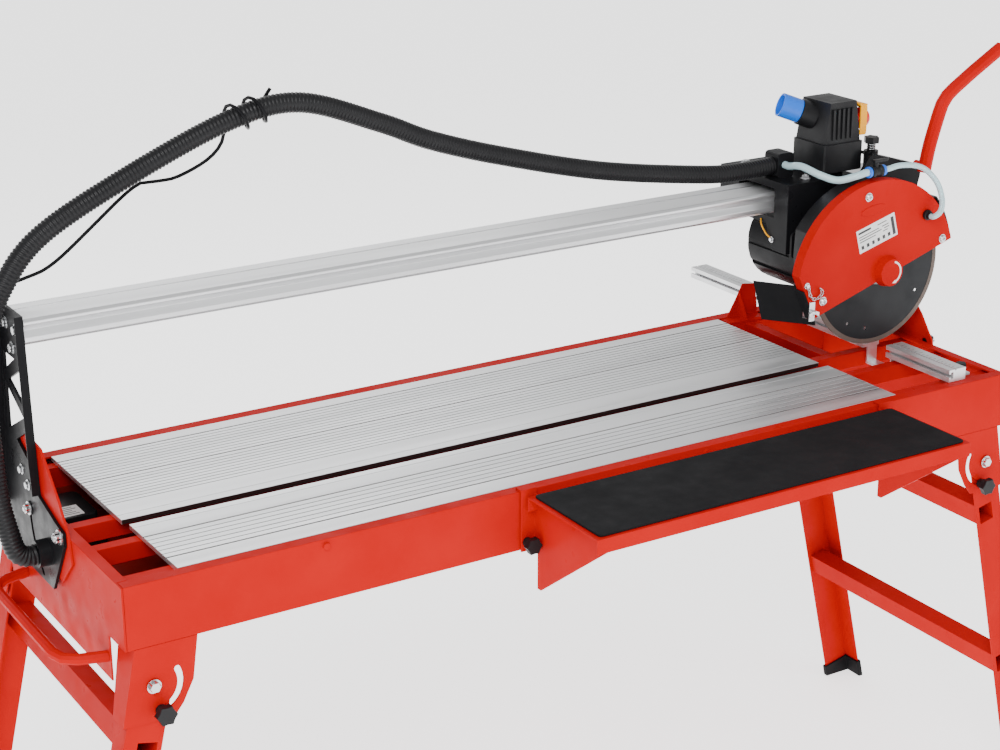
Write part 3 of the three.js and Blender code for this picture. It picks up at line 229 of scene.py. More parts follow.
# ---------- pieces ----------
SMOOTH_ANGLE = math.radians(32)
FLAT_ANGLE = math.radians(0.6)      # faces closer than this to one plane are merged
SAME_PLACE = 1e-6                   # points closer than this, in metres, are merged


def finish_mesh(bm):
    """Outward normals, and smooth shading except across sharp edges."""
    bmesh.ops.recalc_face_normals(bm, faces=bm.faces)
    for face in bm.faces:
        face.smooth = True
    for edge in bm.edges:
        edge.smooth = len(edge.link_faces) == 2 and edge.calc_face_angle(0) < SMOOTH_ANGLE


def piece(name, bm, body, slot_name, bevel=0.0, covers=(), looks=None, segments=2):
    """Makes an object from a bmesh in metres, gives it its material, and joins it to its body.

    bevel is the softened edges' width in mm, and covers names the CAD nodes that the piece stands for."""
    finish_mesh(bm)
    mesh = bpy.data.meshes.new(name)
    bm.to_mesh(mesh)
    bm.free()
    obj = bpy.data.objects.new(name, mesh)
    bpy.context.scene.collection.objects.link(obj)
    mesh.materials.append(look(looks or slot_name))
    if bevel:
        modifier = obj.modifiers.new("edges", "BEVEL")
        modifier.width = bevel * MM
        modifier.segments = segments
        modifier.limit_method = "ANGLE"
        modifier.angle_limit = SMOOTH_ANGLE
        modifier.harden_normals = True
        modifier.use_clamp_overlap = True
    if body:
        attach(obj, body)
    if covers:
        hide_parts(*covers)
    return obj


def skin(node, bevel):
    """The CAD node's own shape with merged faces and softened edges."""
    bm = bmesh.new()
    bm.from_mesh(frame["nodes"][node].data)
    bmesh.ops.remove_doubles(bm, verts=bm.verts, dist=SAME_PLACE)
    bmesh.ops.dissolve_limit(bm, angle_limit=FLAT_ANGLE, verts=bm.verts, edges=bm.edges)
    return piece(node + "_body", bm, BODY_OF[node], SLOT_OF[node], bevel, covers=(node,))


def lathe(bm, profile, at, direction, sides):
    """Turns (radius, height) pairs in mm about a line from at along direction."""
    turn = Vector((0, 0, 1)).rotation_difference(Vector(direction).normalized())
    base = place(*at)
    rings = []
    for radius, height in profile:
        if radius == 0:
            rings.append([bm.verts.new(base + turn @ Vector((0, 0, height * MM)))])
            continue
        ring = []
        for i in range(sides):
            angle = 2 * math.pi * i / sides
            local = Vector((radius * math.cos(angle), radius * math.sin(angle), height)) * MM
            ring.append(bm.verts.new(base + turn @ local))
        rings.append(ring)
    for low, high in zip(rings, rings[1:]):
        for i in range(sides):
            j = (i + 1) % sides
            if len(low) == 1 and len(high) == 1:
                continue
            if len(low) == 1:
                bm.faces.new((low[0], high[j], high[i]))
            elif len(high) == 1:
                bm.faces.new((low[i], low[j], high[0]))
            else:
                bm.faces.new((low[i], low[j], high[j], high[i]))
    return bm


def block(bm, xs, ys, zs):
    """A box between two X, two Y and two Z values."""
    corners = [place(x, y, z) for x in xs for y in ys for z in zs]
    v = [bm.verts.new(c) for c in corners]
    for a, b, c, d in ((0, 1, 3, 2), (4, 6, 7, 5), (0, 4, 5, 1), (2, 3, 7, 6), (0, 2, 6, 4), (1, 5, 7, 3)):
        bm.faces.new((v[a], v[b], v[c], v[d]))
    return bm


def slab(bm, outline, to_point, low, high):
    """Pushes an outline of (a, b) pairs from low to high; to_point(a, b, height) gives a place."""
    bottom = [bm.verts.new(to_point(a, b, low)) for a, b in outline]
    top = [bm.verts.new(to_point(a, b, high)) for a, b in outline]
    count = len(outline)
    bm.faces.new(bottom)
    bm.faces.new(list(reversed(top)))
    for i in range(count):
        j = (i + 1) % count
        bm.faces.new((bottom[i], top[i], top[j], bottom[j]))
    return bm


def along_y(a, b, height):
    """For an outline of (X, Z) pairs."""
    return place(a, height, b)


def along_z(a, b, height):
    """For an outline of (X, Y) pairs."""
    return place(a, b, height)


# ---------- cords ----------
POINTS_PER_SPAN = 14
LEAST_LAST_STEP = 0.4               # a shorter last step is joined to the one before


def smooth_line(points):
    """A uniform Catmull-Rom line through points, as in the CAD."""
    pts = [Vector(p) for p in points]
    pts = [pts[0] * 2 - pts[1], *pts, pts[-1] * 2 - pts[-2]]
    line = []
    for i in range(1, len(pts) - 2):
        a, b, c, d = pts[i - 1:i + 3]
        for k in range(POINTS_PER_SPAN):
            t = k / POINTS_PER_SPAN
            m0, m1 = (c - a) * 0.5, (d - b) * 0.5
            line.append(b * (2 * t**3 - 3 * t**2 + 1) + m0 * (t**3 - 2 * t**2 + t)
                        + c * (-2 * t**3 + 3 * t**2) + m1 * (t**3 - t**2))
    line.append(pts[-2])
    return line


def evenly(line, step):
    """The same line with points every step mm."""
    out = [line[0]]
    left = step
    for a, b in zip(line, line[1:]):
        length = (b - a).length
        at = 0.0
        while length - at >= left:
            at += left
            out.append(a.lerp(b, at / length))
            left = step
        left -= length - at
    last_gap = (out[-1] - line[-1]).length
    if last_gap > step * LEAST_LAST_STEP:
        out.append(line[-1])
    else:
        out[-1] = line[-1]
    return out


def tube(bm, line, radius_at, sides):
    """A closed tube along a line of mm points; radius_at(i) is its radius at point i."""
    rings = []
    side = None
    for i, point in enumerate(line):
        forward = (line[min(i + 1, len(line) - 1)] - line[max(i - 1, 0)]).normalized()
        if side is None:
            side = forward.orthogonal().normalized()
        side = (side - forward * side.dot(forward)).normalized()
        up = forward.cross(side)
        radius = radius_at(i)
        ring = []
        for k in range(sides):
            angle = 2 * math.pi * k / sides
            spot = point + (side * math.cos(angle) + up * math.sin(angle)) * radius
            ring.append(bm.verts.new(place(*spot)))
        rings.append(ring)
    for low, high in zip(rings, rings[1:]):
        for k in range(sides):
            j = (k + 1) % sides
            bm.faces.new((low[k], low[j], high[j], high[k]))
    bm.faces.new(list(reversed(rings[0])))
    bm.faces.new(rings[-1])
    return bm


CONDUIT_RADIUS = 17
CONDUIT_SIDES = 18
RIB_PITCH = 6.4
RIB_WAVE = (0, 0.9, 1.9, 0.9)       # how far each quarter of a rib lies below the ribs' tops
CONDUIT_Y = 130
GLAND = (62, -48)                   # (Y, Z) where the conduit enters the left column
CONDUIT = [
    (1362, CONDUIT_Y, 362), (1289, CONDUIT_Y, 360), (1197, CONDUIT_Y, 367), (975, CONDUIT_Y, 404),
    (767, CONDUIT_Y, 458), (630, CONDUIT_Y, 502), (536, CONDUIT_Y, 543), (392, CONDUIT_Y, 593),
    (269, CONDUIT_Y, 579), (97, CONDUIT_Y, 513), (-52, 128, 440), (-121, 118, 372), (-158, 104, 300),
    (-170, 92, 220), (-171, 86, 130), (-169, 78, 50), (-161, 68, -8), (-153, 63.5, -38),
    (-138, *GLAND), (-124.4, *GLAND),
]
WATER_HOSE = [
    (1378, 109.4, 366), (1378, 96, 366), (1382, 66, 371), (1398, 34, 360), (1420, 8, 352), (1443, -12, 360),
    (1462, -20, 366), (1486, -20, 366), (1512, -20, 366), (1548, -23, 370), (1590, -31, 362),
    (1620, -40, 334), (1630, -48, 302), (1624, -54, 280), (1612, -49, 268.3), (1611, -33.6, 268),
]
PUMP_HOSE = [
    (-34, 240, -35.4), (-34, 240, -22), (-35, 250, -4), (-38, 268, 9), (-43, 292, 12), (-50, 315, 9),
    (-60, 334, 9),
]
HOSE_STEP = 3
HOSE_SIDES = 16
HOSE_THICK, HOSE_THIN = 7.0, 5.4    # the water hose's radii before and after its valve
VALVE_MIDDLE_X = 1487
PUMP_HOSE_RADIUS = 6.9


def squash_with_head(obj):
    """Gives a piece its own copy of its mesh."""
    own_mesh(obj)


def make_conduit():
    line = evenly(smooth_line(CONDUIT), RIB_PITCH / len(RIB_WAVE))
    bm = tube(bmesh.new(), line, lambda i: CONDUIT_RADIUS - RIB_WAVE[i % len(RIB_WAVE)], CONDUIT_SIDES)
    obj = piece("conduit_ribbed", bm, "bridge", "black_plastic", covers=("conduit",))
    for face in obj.data.polygons:
        face.use_smooth = True
    for edge in obj.data.edges:
        edge.use_edge_sharp = False
    squash_with_head(obj)


def make_water_hose():
    line = evenly(smooth_line(WATER_HOSE), HOSE_STEP)
    radii = [HOSE_THICK if point.x < VALVE_MIDDLE_X else HOSE_THIN for point in line]
    bm = tube(bmesh.new(), line, lambda i: radii[i], HOSE_SIDES)
    obj = piece("water_hose_tube", bm, None, "hose_plastic", covers=("water_hose",))
    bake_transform(obj)


def make_pump_hose():
    line = evenly(smooth_line(PUMP_HOSE), HOSE_STEP)
    bm = tube(bmesh.new(), line, lambda i: PUMP_HOSE_RADIUS, HOSE_SIDES)
    obj = piece("pump_hose_tube", bm, "table", "rubber", covers=("pump_hose",))


make_conduit()
make_water_hose()
make_pump_hose()


# ---------- blade ----------
blade_low, blade_high = box_mm("blade")
BLADE_AT = (blade_low + blade_high) / 2
BLADE_RADIUS = (blade_high.x - blade_low.x) / 2
DISC_HALF, RIM_HALF = 1.1, 1.5      # half thicknesses
RIM_WIDE = 9
BORE_RADIUS = 12.95
HOLES_AT_RADIUS = 120
HOLE_RADIUS = 3.2
HOLE_ANGLES = (-31, -99, -122, 29, 88, 149)
CIRCLE_SIDES, BORE_SIDES, HOLE_SIDES = 96, 40, 20


def turned_about(centre, radius, angle):
    """The (a, b) pair at a radius and an angle from a centre."""
    return (centre[0] + radius * math.cos(angle), centre[1] + radius * math.sin(angle))


def ring_of(centre, radius, sides):
    """An outline of (a, b) pairs round a centre."""
    return [turned_about(centre, radius, 2 * math.pi * i / sides) for i in range(sides)]


def pierced(bm, loops, to_point, low, high):
    """A flat plate with holes, from outlines of (a, b) pairs with the outer one first."""
    bottom, top = [], []
    for loop in loops:
        bottom += [bm.verts.new(to_point(a, b, low)) for a, b in loop]
        top += [bm.verts.new(to_point(a, b, high)) for a, b in loop]
    for tri in tessellate_polygon([[Vector((a, b, 0)) for a, b in loop] for loop in loops]):
        bm.faces.new([bottom[i] for i in tri])
        bm.faces.new([top[i] for i in reversed(tri)])
    start = 0
    for loop in loops:
        count = len(loop)
        for i in range(count):
            j = start + (i + 1) % count
            bm.faces.new((bottom[start + i], bottom[j], top[j], top[start + i]))
        start += count
    return bm


def make_blade():
    centre = (BLADE_AT.x, BLADE_AT.z)
    edge = ring_of(centre, BLADE_RADIUS, CIRCLE_SIDES)
    seam = ring_of(centre, BLADE_RADIUS - RIM_WIDE, CIRCLE_SIDES)
    bore = ring_of(centre, BORE_RADIUS, BORE_SIDES)
    holes = []
    for angle in HOLE_ANGLES:
        spot = turned_about(centre, HOLES_AT_RADIUS, math.radians(angle))
        holes.append(ring_of(spot, HOLE_RADIUS, HOLE_SIDES))
    disc = pierced(bmesh.new(), [seam, bore, *holes], along_y, -DISC_HALF, DISC_HALF)
    piece("blade_disc", disc, "spindle", "steel", covers=("blade",), looks="blade_disc")
    rim = pierced(bmesh.new(), [edge, seam], along_y, -RIM_HALF, RIM_HALF)
    piece("blade_rim", rim, "spindle", "steel", looks="blade_rim")


make_blade()


# ---------- fixings ----------
WASHER_SIDES, NUT_SIDES, STUD_SIDES = 32, 6, 20
CHAMFER = 1                         # height of the rounded top of a nut or stud
NUT_TOP = 0.86                      # a nut's top radius over its own
STUD_TOP_LESS = 0.8
SINK = 0.4                          # how far a nut is let into its washer
SEAT_SINK = 0.1                     # how far a fixing is let into its plate


def disc_profile(radius, height):
    return [(0, 0), (radius, 0), (radius, height), (0, height)]


def domed_profile(radius, height, top_radius):
    return [(0, 0), (radius, 0), (radius, height - CHAMFER), (top_radius, height), (0, height)]


def capped(name, body, at, direction, washer, nut, stud=None):
    """A bright washer, nut and stud end over the CAD's; each is a (radius, height above the seat) pair."""
    bm = lathe(bmesh.new(), disc_profile(*washer), at, direction, WASHER_SIDES)
    nut_radius, nut_height = nut
    base = Vector(at) + Vector(direction) * (washer[1] - SINK)
    above = nut_height - washer[1] + SINK
    lathe(bm, domed_profile(nut_radius, above, nut_radius * NUT_TOP), base, direction, NUT_SIDES)
    if stud:
        lathe(bm, domed_profile(*stud, stud[0] - STUD_TOP_LESS), at, direction, STUD_SIDES)
    piece(name, bm, body, "steel", bevel=0.3)


COLUMN_FLANGE = 28                  # how far a column's folded edge stands out from its web
TILT_LOCK_RADIUS = 134
TILT_LOCK_RAISE = 0.9
RAIL_BOLTS = ((128, 297), (176, 297), (152, 262))       # (Y, Z)
COLUMN_BOLTS = ((158, 58), (132, 40))


def make_column_fixings(end, out):
    low, high = box_mm(f"{end}_column")
    face = low.x + COLUMN_FLANGE if out < 0 else high.x - COLUMN_FLANGE
    outwards = (out, 0, 0)
    seat = face - out * SEAT_SINK
    capped(f"{end}_pivot_nut", "bridge", (seat, 0, 0), outwards,
           washer=(12.4, 2.9), nut=(10.0, 9.4), stud=(6, 12))
    capped(f"{end}_tilt_lock_nut", "table", (face + out * TILT_LOCK_RAISE, TILT_LOCK_RADIUS, 0), outwards,
           washer=(11.4, 2.5), nut=(8.6, 8.4), stud=(4.5, 10.4))
    for index, (y, z) in enumerate(RAIL_BOLTS):
        capped(f"{end}_rail_bolt_{index + 1}", "bridge", (seat, y, z), outwards,
               washer=(10, 1.6), nut=(7.6, 6.5))
    for index, (y, z) in enumerate(COLUMN_BOLTS):
        capped(f"{end}_column_bolt_{index + 1}", "bridge", (seat, y, z), outwards,
               washer=(9, 1.6), nut=(6.5, 6))


HINGE_Z = -168
HINGE_X = {"left": -54, "right": 1618}
HINGE_ROWS = (("front", -223.6, -1), ("rear", 351.2, 1))       # name, seat's Y, outward direction


def make_hinge_nuts(end):
    for row, seat, out in HINGE_ROWS:
        capped(f"{end}_{row}_hinge_nut", f"{end}_legs", (HINGE_X[end], seat, HINGE_Z), (0, out, 0),
               washer=(11.5, 2.4), nut=(9.5, 8.4))


CARRIAGE_TOP = 340.9


def make_carriage_bolts():
    up = (0, 0, 1)
    capped("carriage_bolt", "carriage", (1408, 84, CARRIAGE_TOP), up,
           washer=(10, 1.6), nut=(7, 6.5), stud=(3.6, 9))
    capped("carriage_bolt_rear", "carriage", (1390, 240, CARRIAGE_TOP), up,
           washer=(10, 1.6), nut=(7, 6.5))


for end, out in (("left", -1), ("right", 1)):
    make_column_fixings(end, out)
for end in ("left", "right"):
    make_hinge_nuts(end)
make_carriage_bolts()


# ---------- screws and marks on the guard ----------
HUB_HIGH = 16                       # how far the hub stands out from the guard's plate
HUB_FACE = box_mm("guard_front")[0].y
GUARD_FACE = HUB_FACE + HUB_HIGH
TOWARDS_FRONT = (0, -1, 0)
GUARD_SCREWS = ((1465, 322), (1655, 215), (1367, 138))         # (X, Z)
SCREW_HEAD = [(0, 0), (8.4, 0), (8.4, 1), (7, 1.2), (7, 3.4), (5.4, 4.9), (2.4, 5.4), (0, 5.4)]
SCREW_SIDES = 28
CROSS_LONG, CROSS_WIDE = 3.4, 0.6   # half sizes of the bars of a screw's cross
CROSS_OVER, CROSS_UNDER = 0.1, 0.8  # how far the cross goes above and below the screw's top


def guard_screw(name, x, z):
    """A round-headed screw that covers the guard's own fixing."""
    bm = lathe(bmesh.new(), SCREW_HEAD, (x, GUARD_FACE + SEAT_SINK, z), TOWARDS_FRONT, SCREW_SIDES)
    piece(name, bm, "head", "steel")
    top = GUARD_FACE - SCREW_HEAD[-1][1]
    depth = (top - CROSS_OVER, top + CROSS_UNDER)
    # the dark cross is painted shade for the head's cross recess
    cross = bmesh.new()
    for half_x, half_z in ((CROSS_LONG, CROSS_WIDE), (CROSS_WIDE, CROSS_LONG)):
        block(cross, (x - half_x, x + half_x), depth, (z - half_z, z + half_z))
    piece(name + "_cross", cross, "head", "steel", looks="ink_and_recess_shade")


for index, (x, z) in enumerate(GUARD_SCREWS):
    guard_screw(f"guard_screw_{index + 1}", x, z)

LABEL_CENTRE = (1490, 250)          # (X, Z)
LABEL_TURN = math.radians(15.5)
LABEL_HALF = (47, 23)
LABEL_BARS = (                      # v of the middle, u from and to, width
    (16, -43, -12, 4), (15, 4, 26, 1.6), (8, -43, 6, 1.6), (3, -43, 12, 1.6),
    (-2, -43, -4, 1.6), (8, 14, 30, 1.6), (3, 18, 30, 1.6), (-2, 14, 26, 1.6),
)
SQUARES, SQUARES_FROM, SQUARES_PITCH, SQUARE_WIDE = 6, -41, 13, 6
SQUARES_V = (-17, -10)
END_BAR = (36, 43, -19, 17)         # u from and to, v from and to
LABEL_FROM, LABEL_TO = -0.05, 0.35  # heights over the guard
INK_FROM, INK_TO = 0.3, 0.5


def rotated(a, b, turn):
    return (a * math.cos(turn) - b * math.sin(turn), a * math.sin(turn) + b * math.cos(turn))


def on_label(u, v, height):
    """A point on the guard's label: u along it and v across it."""
    x, z = rotated(u, v, LABEL_TURN)
    return place(LABEL_CENTRE[0] + x, GUARD_FACE - height, LABEL_CENTRE[1] + z)


def rectangle(u0, u1, v0, v1):
    return [(u0, v0), (u1, v0), (u1, v1), (u0, v1)]


def make_label():
    """A plain plate with plain bars in place of any lettering."""
    half_u, half_v = LABEL_HALF
    outline = rectangle(-half_u, half_u, -half_v, half_v)
    plate = slab(bmesh.new(), outline, on_label, LABEL_FROM, LABEL_TO)
    piece("guard_label", plate, "head", "steel", looks="label")
    marks = bmesh.new()
    for v, u0, u1, wide in LABEL_BARS:
        slab(marks, rectangle(u0, u1, v - wide / 2, v + wide / 2), on_label, INK_FROM, INK_TO)
    for index in range(SQUARES):
        u = SQUARES_FROM + index * SQUARES_PITCH
        slab(marks, rectangle(u, u + SQUARE_WIDE, *SQUARES_V), on_label, INK_FROM, INK_TO)
    slab(marks, rectangle(*END_BAR), on_label, INK_FROM, INK_TO)
    piece("guard_label_marks", marks, "head", "steel", looks="ink_and_recess_shade")


TURN_MARK_INNER, TURN_MARK_OUTER = 19.0, 22.5
TURN_MARK_FROM, TURN_MARK_STEP, TURN_MARK_STEPS = -62, 6, 24   # degrees
ARROW = ((17, -62), (20.8, -84), (24.2, -62))                  # (radius, degrees)
TURN_MARK_HIGH, TURN_MARK_SUNK = 0.35, 0.1                     # above and below the hub's face


def make_turn_mark():
    """A curved arrow on the hub for the blade's direction."""
    centre = (BLADE_AT.x, BLADE_AT.z)
    low, high = HUB_FACE - TURN_MARK_HIGH, HUB_FACE + TURN_MARK_SUNK
    angles = [math.radians(TURN_MARK_FROM + TURN_MARK_STEP * i) for i in range(TURN_MARK_STEPS)]
    outline = [turned_about(centre, TURN_MARK_OUTER, t) for t in angles]
    outline += [turned_about(centre, TURN_MARK_INNER, t) for t in reversed(angles)]
    bm = pierced(bmesh.new(), [outline], along_y, low, high)
    arrow = [turned_about(centre, radius, math.radians(degrees)) for radius, degrees in ARROW]
    pierced(bm, [arrow], along_y, low, high)
    piece("turn_mark", bm, "head", "steel", looks="white_mark")


OVAL_CENTRE = (1478, 296)           # (X, Z)
OVAL_TURN = math.radians(8)
OVAL_HALF = (30, 9)
OVAL_SIDES = 48
OVAL_FROM, OVAL_TO = -1, 1.3        # heights over the guard


def make_pressing():
    """The shallow raised oval pressed into the guard above its label."""
    def on_oval(a, b, height):
        x, z = rotated(a, b, OVAL_TURN)
        return place(OVAL_CENTRE[0] + x, GUARD_FACE - height, OVAL_CENTRE[1] + z)

    angles = [2 * math.pi * i / OVAL_SIDES for i in range(OVAL_SIDES)]
    outline = [(OVAL_HALF[0] * math.cos(t), OVAL_HALF[1] * math.sin(t)) for t in angles]
    oval = slab(bmesh.new(), outline, on_oval, OVAL_FROM, OVAL_TO)
    piece("guard_pressing", oval, "head", "red_paint", bevel=1.0, segments=3)


make_label()
make_turn_mark()
make_pressing()

# ---------- chain and wing nut ----------
LINK_SIDES, WIRE_SIDES = 16, 8
LINK_LONG, LINK_WIDE, LINK_WIRE = 4.6, 2.6, 0.85               # half sizes and the wire's radius
LINK_PITCH = 6.6
CHAIN = [(1329, -33, 172), (1333, -34, 155), (1342, -35, 147), (1355, -35, 150), (1361, -35, 158),
         (1355, -35, 166)]
CHAIN_BOLT_AT = (1327, 174)         # (X, Z)
WING_NUT_AT = (1340, -32.2, 122)
WING_NUT_KNOB = [(0, 0), (5, 0), (5, 5), (3, 8), (0, 8)]
WING = ((3, 119), (11, 114), (12, 122), (3, 126))              # distance from the nut's middle, and Z
WING_Y = (-40, -37.6)
CLAMP_X, CLAMP_Y, CLAMP_Z = (1334, 1347), (-32.4, -30.8), (104, 141)


def add_link(bm, at, along, across):
    """One oval chain link in the plane of along and across."""
    normal = along.cross(across).normalized()
    rings = []
    for i in range(LINK_SIDES):
        t = 2 * math.pi * i / LINK_SIDES
        centre = Vector(at) + along * LINK_LONG * math.cos(t) + across * LINK_WIDE * math.sin(t)
        outward = (along * math.cos(t) + across * math.sin(t)).normalized()
        ring = []
        for k in range(WIRE_SIDES):
            angle = 2 * math.pi * k / WIRE_SIDES
            spot = centre + (outward * math.cos(angle) + normal * math.sin(angle)) * LINK_WIRE
            ring.append(bm.verts.new(place(*spot)))
        rings.append(ring)
    for i, low in enumerate(rings):
        high = rings[(i + 1) % LINK_SIDES]
        for k in range(WIRE_SIDES):
            j = (k + 1) % WIRE_SIDES
            bm.faces.new((low[k], low[j], high[j], high[k]))


def make_chain():
    """A short chain that hangs from its bolt at the guard's rim and curls back up."""
    line = evenly(smooth_line(CHAIN), LINK_PITCH)
    sideways = Vector((0, 1, 0))
    bm = bmesh.new()
    for index, (point, following) in enumerate(zip(line, line[1:])):
        along = (following - point).normalized()
        across = sideways if index % 2 else along.cross(sideways).normalized()
        add_link(bm, point.lerp(following, 0.5), along, across)
    piece("guard_chain", bm, "head", "steel")


def make_wing_nut():
    """The wing nut of the splash plate on its small clamp plate."""
    bm = block(bmesh.new(), CLAMP_X, CLAMP_Y, CLAMP_Z)
    lathe(bm, WING_NUT_KNOB, WING_NUT_AT, TOWARDS_FRONT, STUD_SIDES)
    for side in (-1, 1):
        wing = [(WING_NUT_AT[0] + side * reach, z) for reach, z in WING]
        slab(bm, wing, along_y, *WING_Y)
    piece("splash_wing_nut", bm, "head", "steel", bevel=0.5)


def make_chain_bolt():
    x, z = CHAIN_BOLT_AT
    capped("chain_bolt", "head", (x, GUARD_FACE + SEAT_SINK, z), TOWARDS_FRONT, washer=(6, 1.4), nut=(4.6, 5))


make_chain()
make_wing_nut()
make_chain_bolt()

# ---------- water valve, earth lead, splash plate, stop button ----------
VALVE_AT = (1474, -20, 366)         # the inlet end's middle
TOWARDS_RIGHT = (1, 0, 0)
VALVE_BODY = [(7.3, 0), (11, 0), (11.8, 3), (11.8, 6), (9.6, 9), (9.6, 17), (11.8, 20), (11.8, 23), (11, 26),
              (7.3, 26)]
VALVE_LEVER = [(1480, -25), (1512, -24), (1516, -20), (1512, -16), (1480, -15)]      # (X, Y)
COLLAR = [(7.2, 0), (10, 0), (10.4, 1), (10.4, 5), (10, 6), (7.2, 6), (7.2, 0)]
COLLARS_X = (1467, 1500.6)
STEM_RADIUS, STEM_HIGH, STEM_RAISE = 5, 9, 8                   # the lever's stem, from the valve's middle
LEVER_Z = (383, 388)
HOSE_FITTING_SIDES, ELBOW_SIDES = 28, 24
ELBOW = [(0, 0), (10, 0), (10, 6), (7.4, 7), (7.4, 12), (0, 12)]
ELBOW_AT = (1611, 268)              # (X, Z)


def make_valve():
    """The valve in the water hose, the collars at its two ends, and the elbow into the guard."""
    _, y, z = VALVE_AT
    bm = lathe(bmesh.new(), VALVE_BODY, VALVE_AT, TOWARDS_RIGHT, HOSE_FITTING_SIDES)
    stem_at = (VALVE_MIDDLE_X, y, z + STEM_RAISE)
    lathe(bm, disc_profile(STEM_RADIUS, STEM_HIGH), stem_at, (0, 0, 1), STUD_SIDES)
    slab(bm, VALVE_LEVER, along_z, *LEVER_Z)
    piece("hose_valve_body", bm, "head", "black_plastic", bevel=0.8, covers=("hose_valve",))
    rings = bmesh.new()
    for x in COLLARS_X:
        lathe(rings, COLLAR, (x, y, z), TOWARDS_RIGHT, HOSE_FITTING_SIDES)
    bmesh.ops.remove_doubles(rings, verts=rings.verts, dist=SAME_PLACE)
    piece("hose_collars", rings, "head", "blue_plastic")
    elbow_seat = (ELBOW_AT[0], GUARD_FACE + SEAT_SINK, ELBOW_AT[1])
    elbow = lathe(bmesh.new(), ELBOW, elbow_seat, TOWARDS_FRONT, ELBOW_SIDES)
    piece("hose_elbow", elbow, "head", "black_plastic", bevel=0.6)


EARTH_LEAD = [(1346, 134, 262), (1343, 128, 252), (1343, 114, 238), (1345.5, 104, 231)]
EARTH_LEAD_RADIUS = 1.4
EARTH_LEAD_STEP, EARTH_LEAD_SIDES = 2, 10
EARTH_SCREW_AT = (1347.1, 101, 228)


def make_earth_lead():
    """The lead at the carriage's left side, and the screw that holds its end."""
    line = evenly(smooth_line(EARTH_LEAD), EARTH_LEAD_STEP)
    lead = tube(bmesh.new(), line, lambda i: EARTH_LEAD_RADIUS, EARTH_LEAD_SIDES)
    piece("earth_lead", lead, "carriage", "yellow_plastic")
    capped("earth_screw", "carriage", EARTH_SCREW_AT, (-1, 0, 0), washer=(6, 1.2), nut=(4.4, 4))


SPLASH_CORNER = Vector((1338, -7, 0))
SPLASH_ALONG = Vector((-45, 64, 0)).normalized()
SPLASH_THICK = 2.4
SPLASH_OUTLINE = [(-26, 93), (77, 92), (96, 165), (-1, 165), (-1, 104), (-24, 101)]  # (along, Z)
SPLASH_BAND = [(1346, 103), (1348.5, 104.5), (1321, 163.5), (1318.5, 163)]           # (X, Z)
SPLASH_BAND_Y = (-31, -7)


def make_splash_plate():
    """The flat plate at the guard's lower left, and its band along the guard's edge."""
    across = Vector((-SPLASH_ALONG.y, SPLASH_ALONG.x, 0))

    def on_plate(a, z, depth):
        at = SPLASH_CORNER + SPLASH_ALONG * a + across * depth
        return place(at.x, at.y, z)

    bm = slab(bmesh.new(), SPLASH_OUTLINE, on_plate, -SPLASH_THICK, 0)
    slab(bm, SPLASH_BAND, along_y, *SPLASH_BAND_Y)
    piece("splash_plate_body", bm, "head", "rubber", bevel=0.4, covers=("splash_plate",))


STOP_BUTTON_SIDES = 36
STOP_BUTTON = [(0, 0), (9, 0), (9, 28), (20, 30), (20, 36), (17, 43), (9, 47), (0, 48)]


def make_stop_button():
    """A mushroom head on its stem; it passes through the flap's hole."""
    low, high = box_mm("stop_button")
    middle = (low + high) / 2
    bm = lathe(bmesh.new(), STOP_BUTTON, (low.x, middle.y, middle.z), TOWARDS_RIGHT,
               STOP_BUTTON_SIDES)
    piece("stop_button_body", bm, "stop", "red_plastic", bevel=0.6, covers=("stop_button",))


make_valve()
make_earth_lead()
make_splash_plate()
make_stop_button()

# ---------- deck, fence, pump and motor marks ----------
STRIP_INSET = 0.6                   # between a strip's end and the panel's
WIDE_GROOVES = {"rear": (187, 294), "front": (-68, -157)}
RIB_ROWS = {"rear": ((80, 9, 11.6), (199, 8, 11.8)), "front": ((-142, 5, 14.6),)}    # first Y, count, pitch
WIDE_STRIP_HALF, RIB_STRIP_HALF = 1.7, 1.15
WIDE_STRIP_Z = (-2.5, -1.1)
RIB_STRIP_Z = (-1.55, -0.35)
SLOT_SHADE_Z = (-7.6, -0.5)
SLOT_SHADE_INTO, SLOT_SHADE_UNDER = 0.4, 0.1                   # into the slot, and into the panel's edge


def make_deck_strips():
    """Painted shade: dark strips on the floors of the panels' grooves, and on the two edges of the blade
    slot.
    """
    wide = bmesh.new()
    fine = bmesh.new()
    for panel, side in (("rear", 1), ("front", -1)):
        low, high = box_mm(f"{panel}_deck_panel")
        span = (low.x + STRIP_INSET, high.x - STRIP_INSET)
        for y in WIDE_GROOVES[panel]:
            block(wide, span, (y - WIDE_STRIP_HALF, y + WIDE_STRIP_HALF), WIDE_STRIP_Z)
        for first, count, pitch in RIB_ROWS[panel]:
            for index in range(count):
                y = first + index * pitch
                block(fine, span, (y - RIB_STRIP_HALF, y + RIB_STRIP_HALF), RIB_STRIP_Z)
        shade = (side * (SLOT_HALF - SLOT_SHADE_INTO), side * (SLOT_HALF + SLOT_SHADE_UNDER))
        block(wide, span, sorted(shade), SLOT_SHADE_Z)
    # painted shade in the wide grooves and on the slot's edges, and lighter painted shade in the rib grooves
    piece("deck_strips", wide, "table", "rubber", looks="groove_shade")
    piece("deck_rib_shades", fine, "table", "rubber", looks="rib_shade")


TICK_PITCH = 10
LONG_TICK_EVERY = 5
LONG_TICK, SHORT_TICK, TICK_HALF = 11, 6, 0.4
TICK_SUNK, TICK_HIGH = 0.05, 0.08
TICKS_FROM_X = 1548
SCALE_SPANS = ((-200, -36), (36, 582))                         # Y either side of the blade


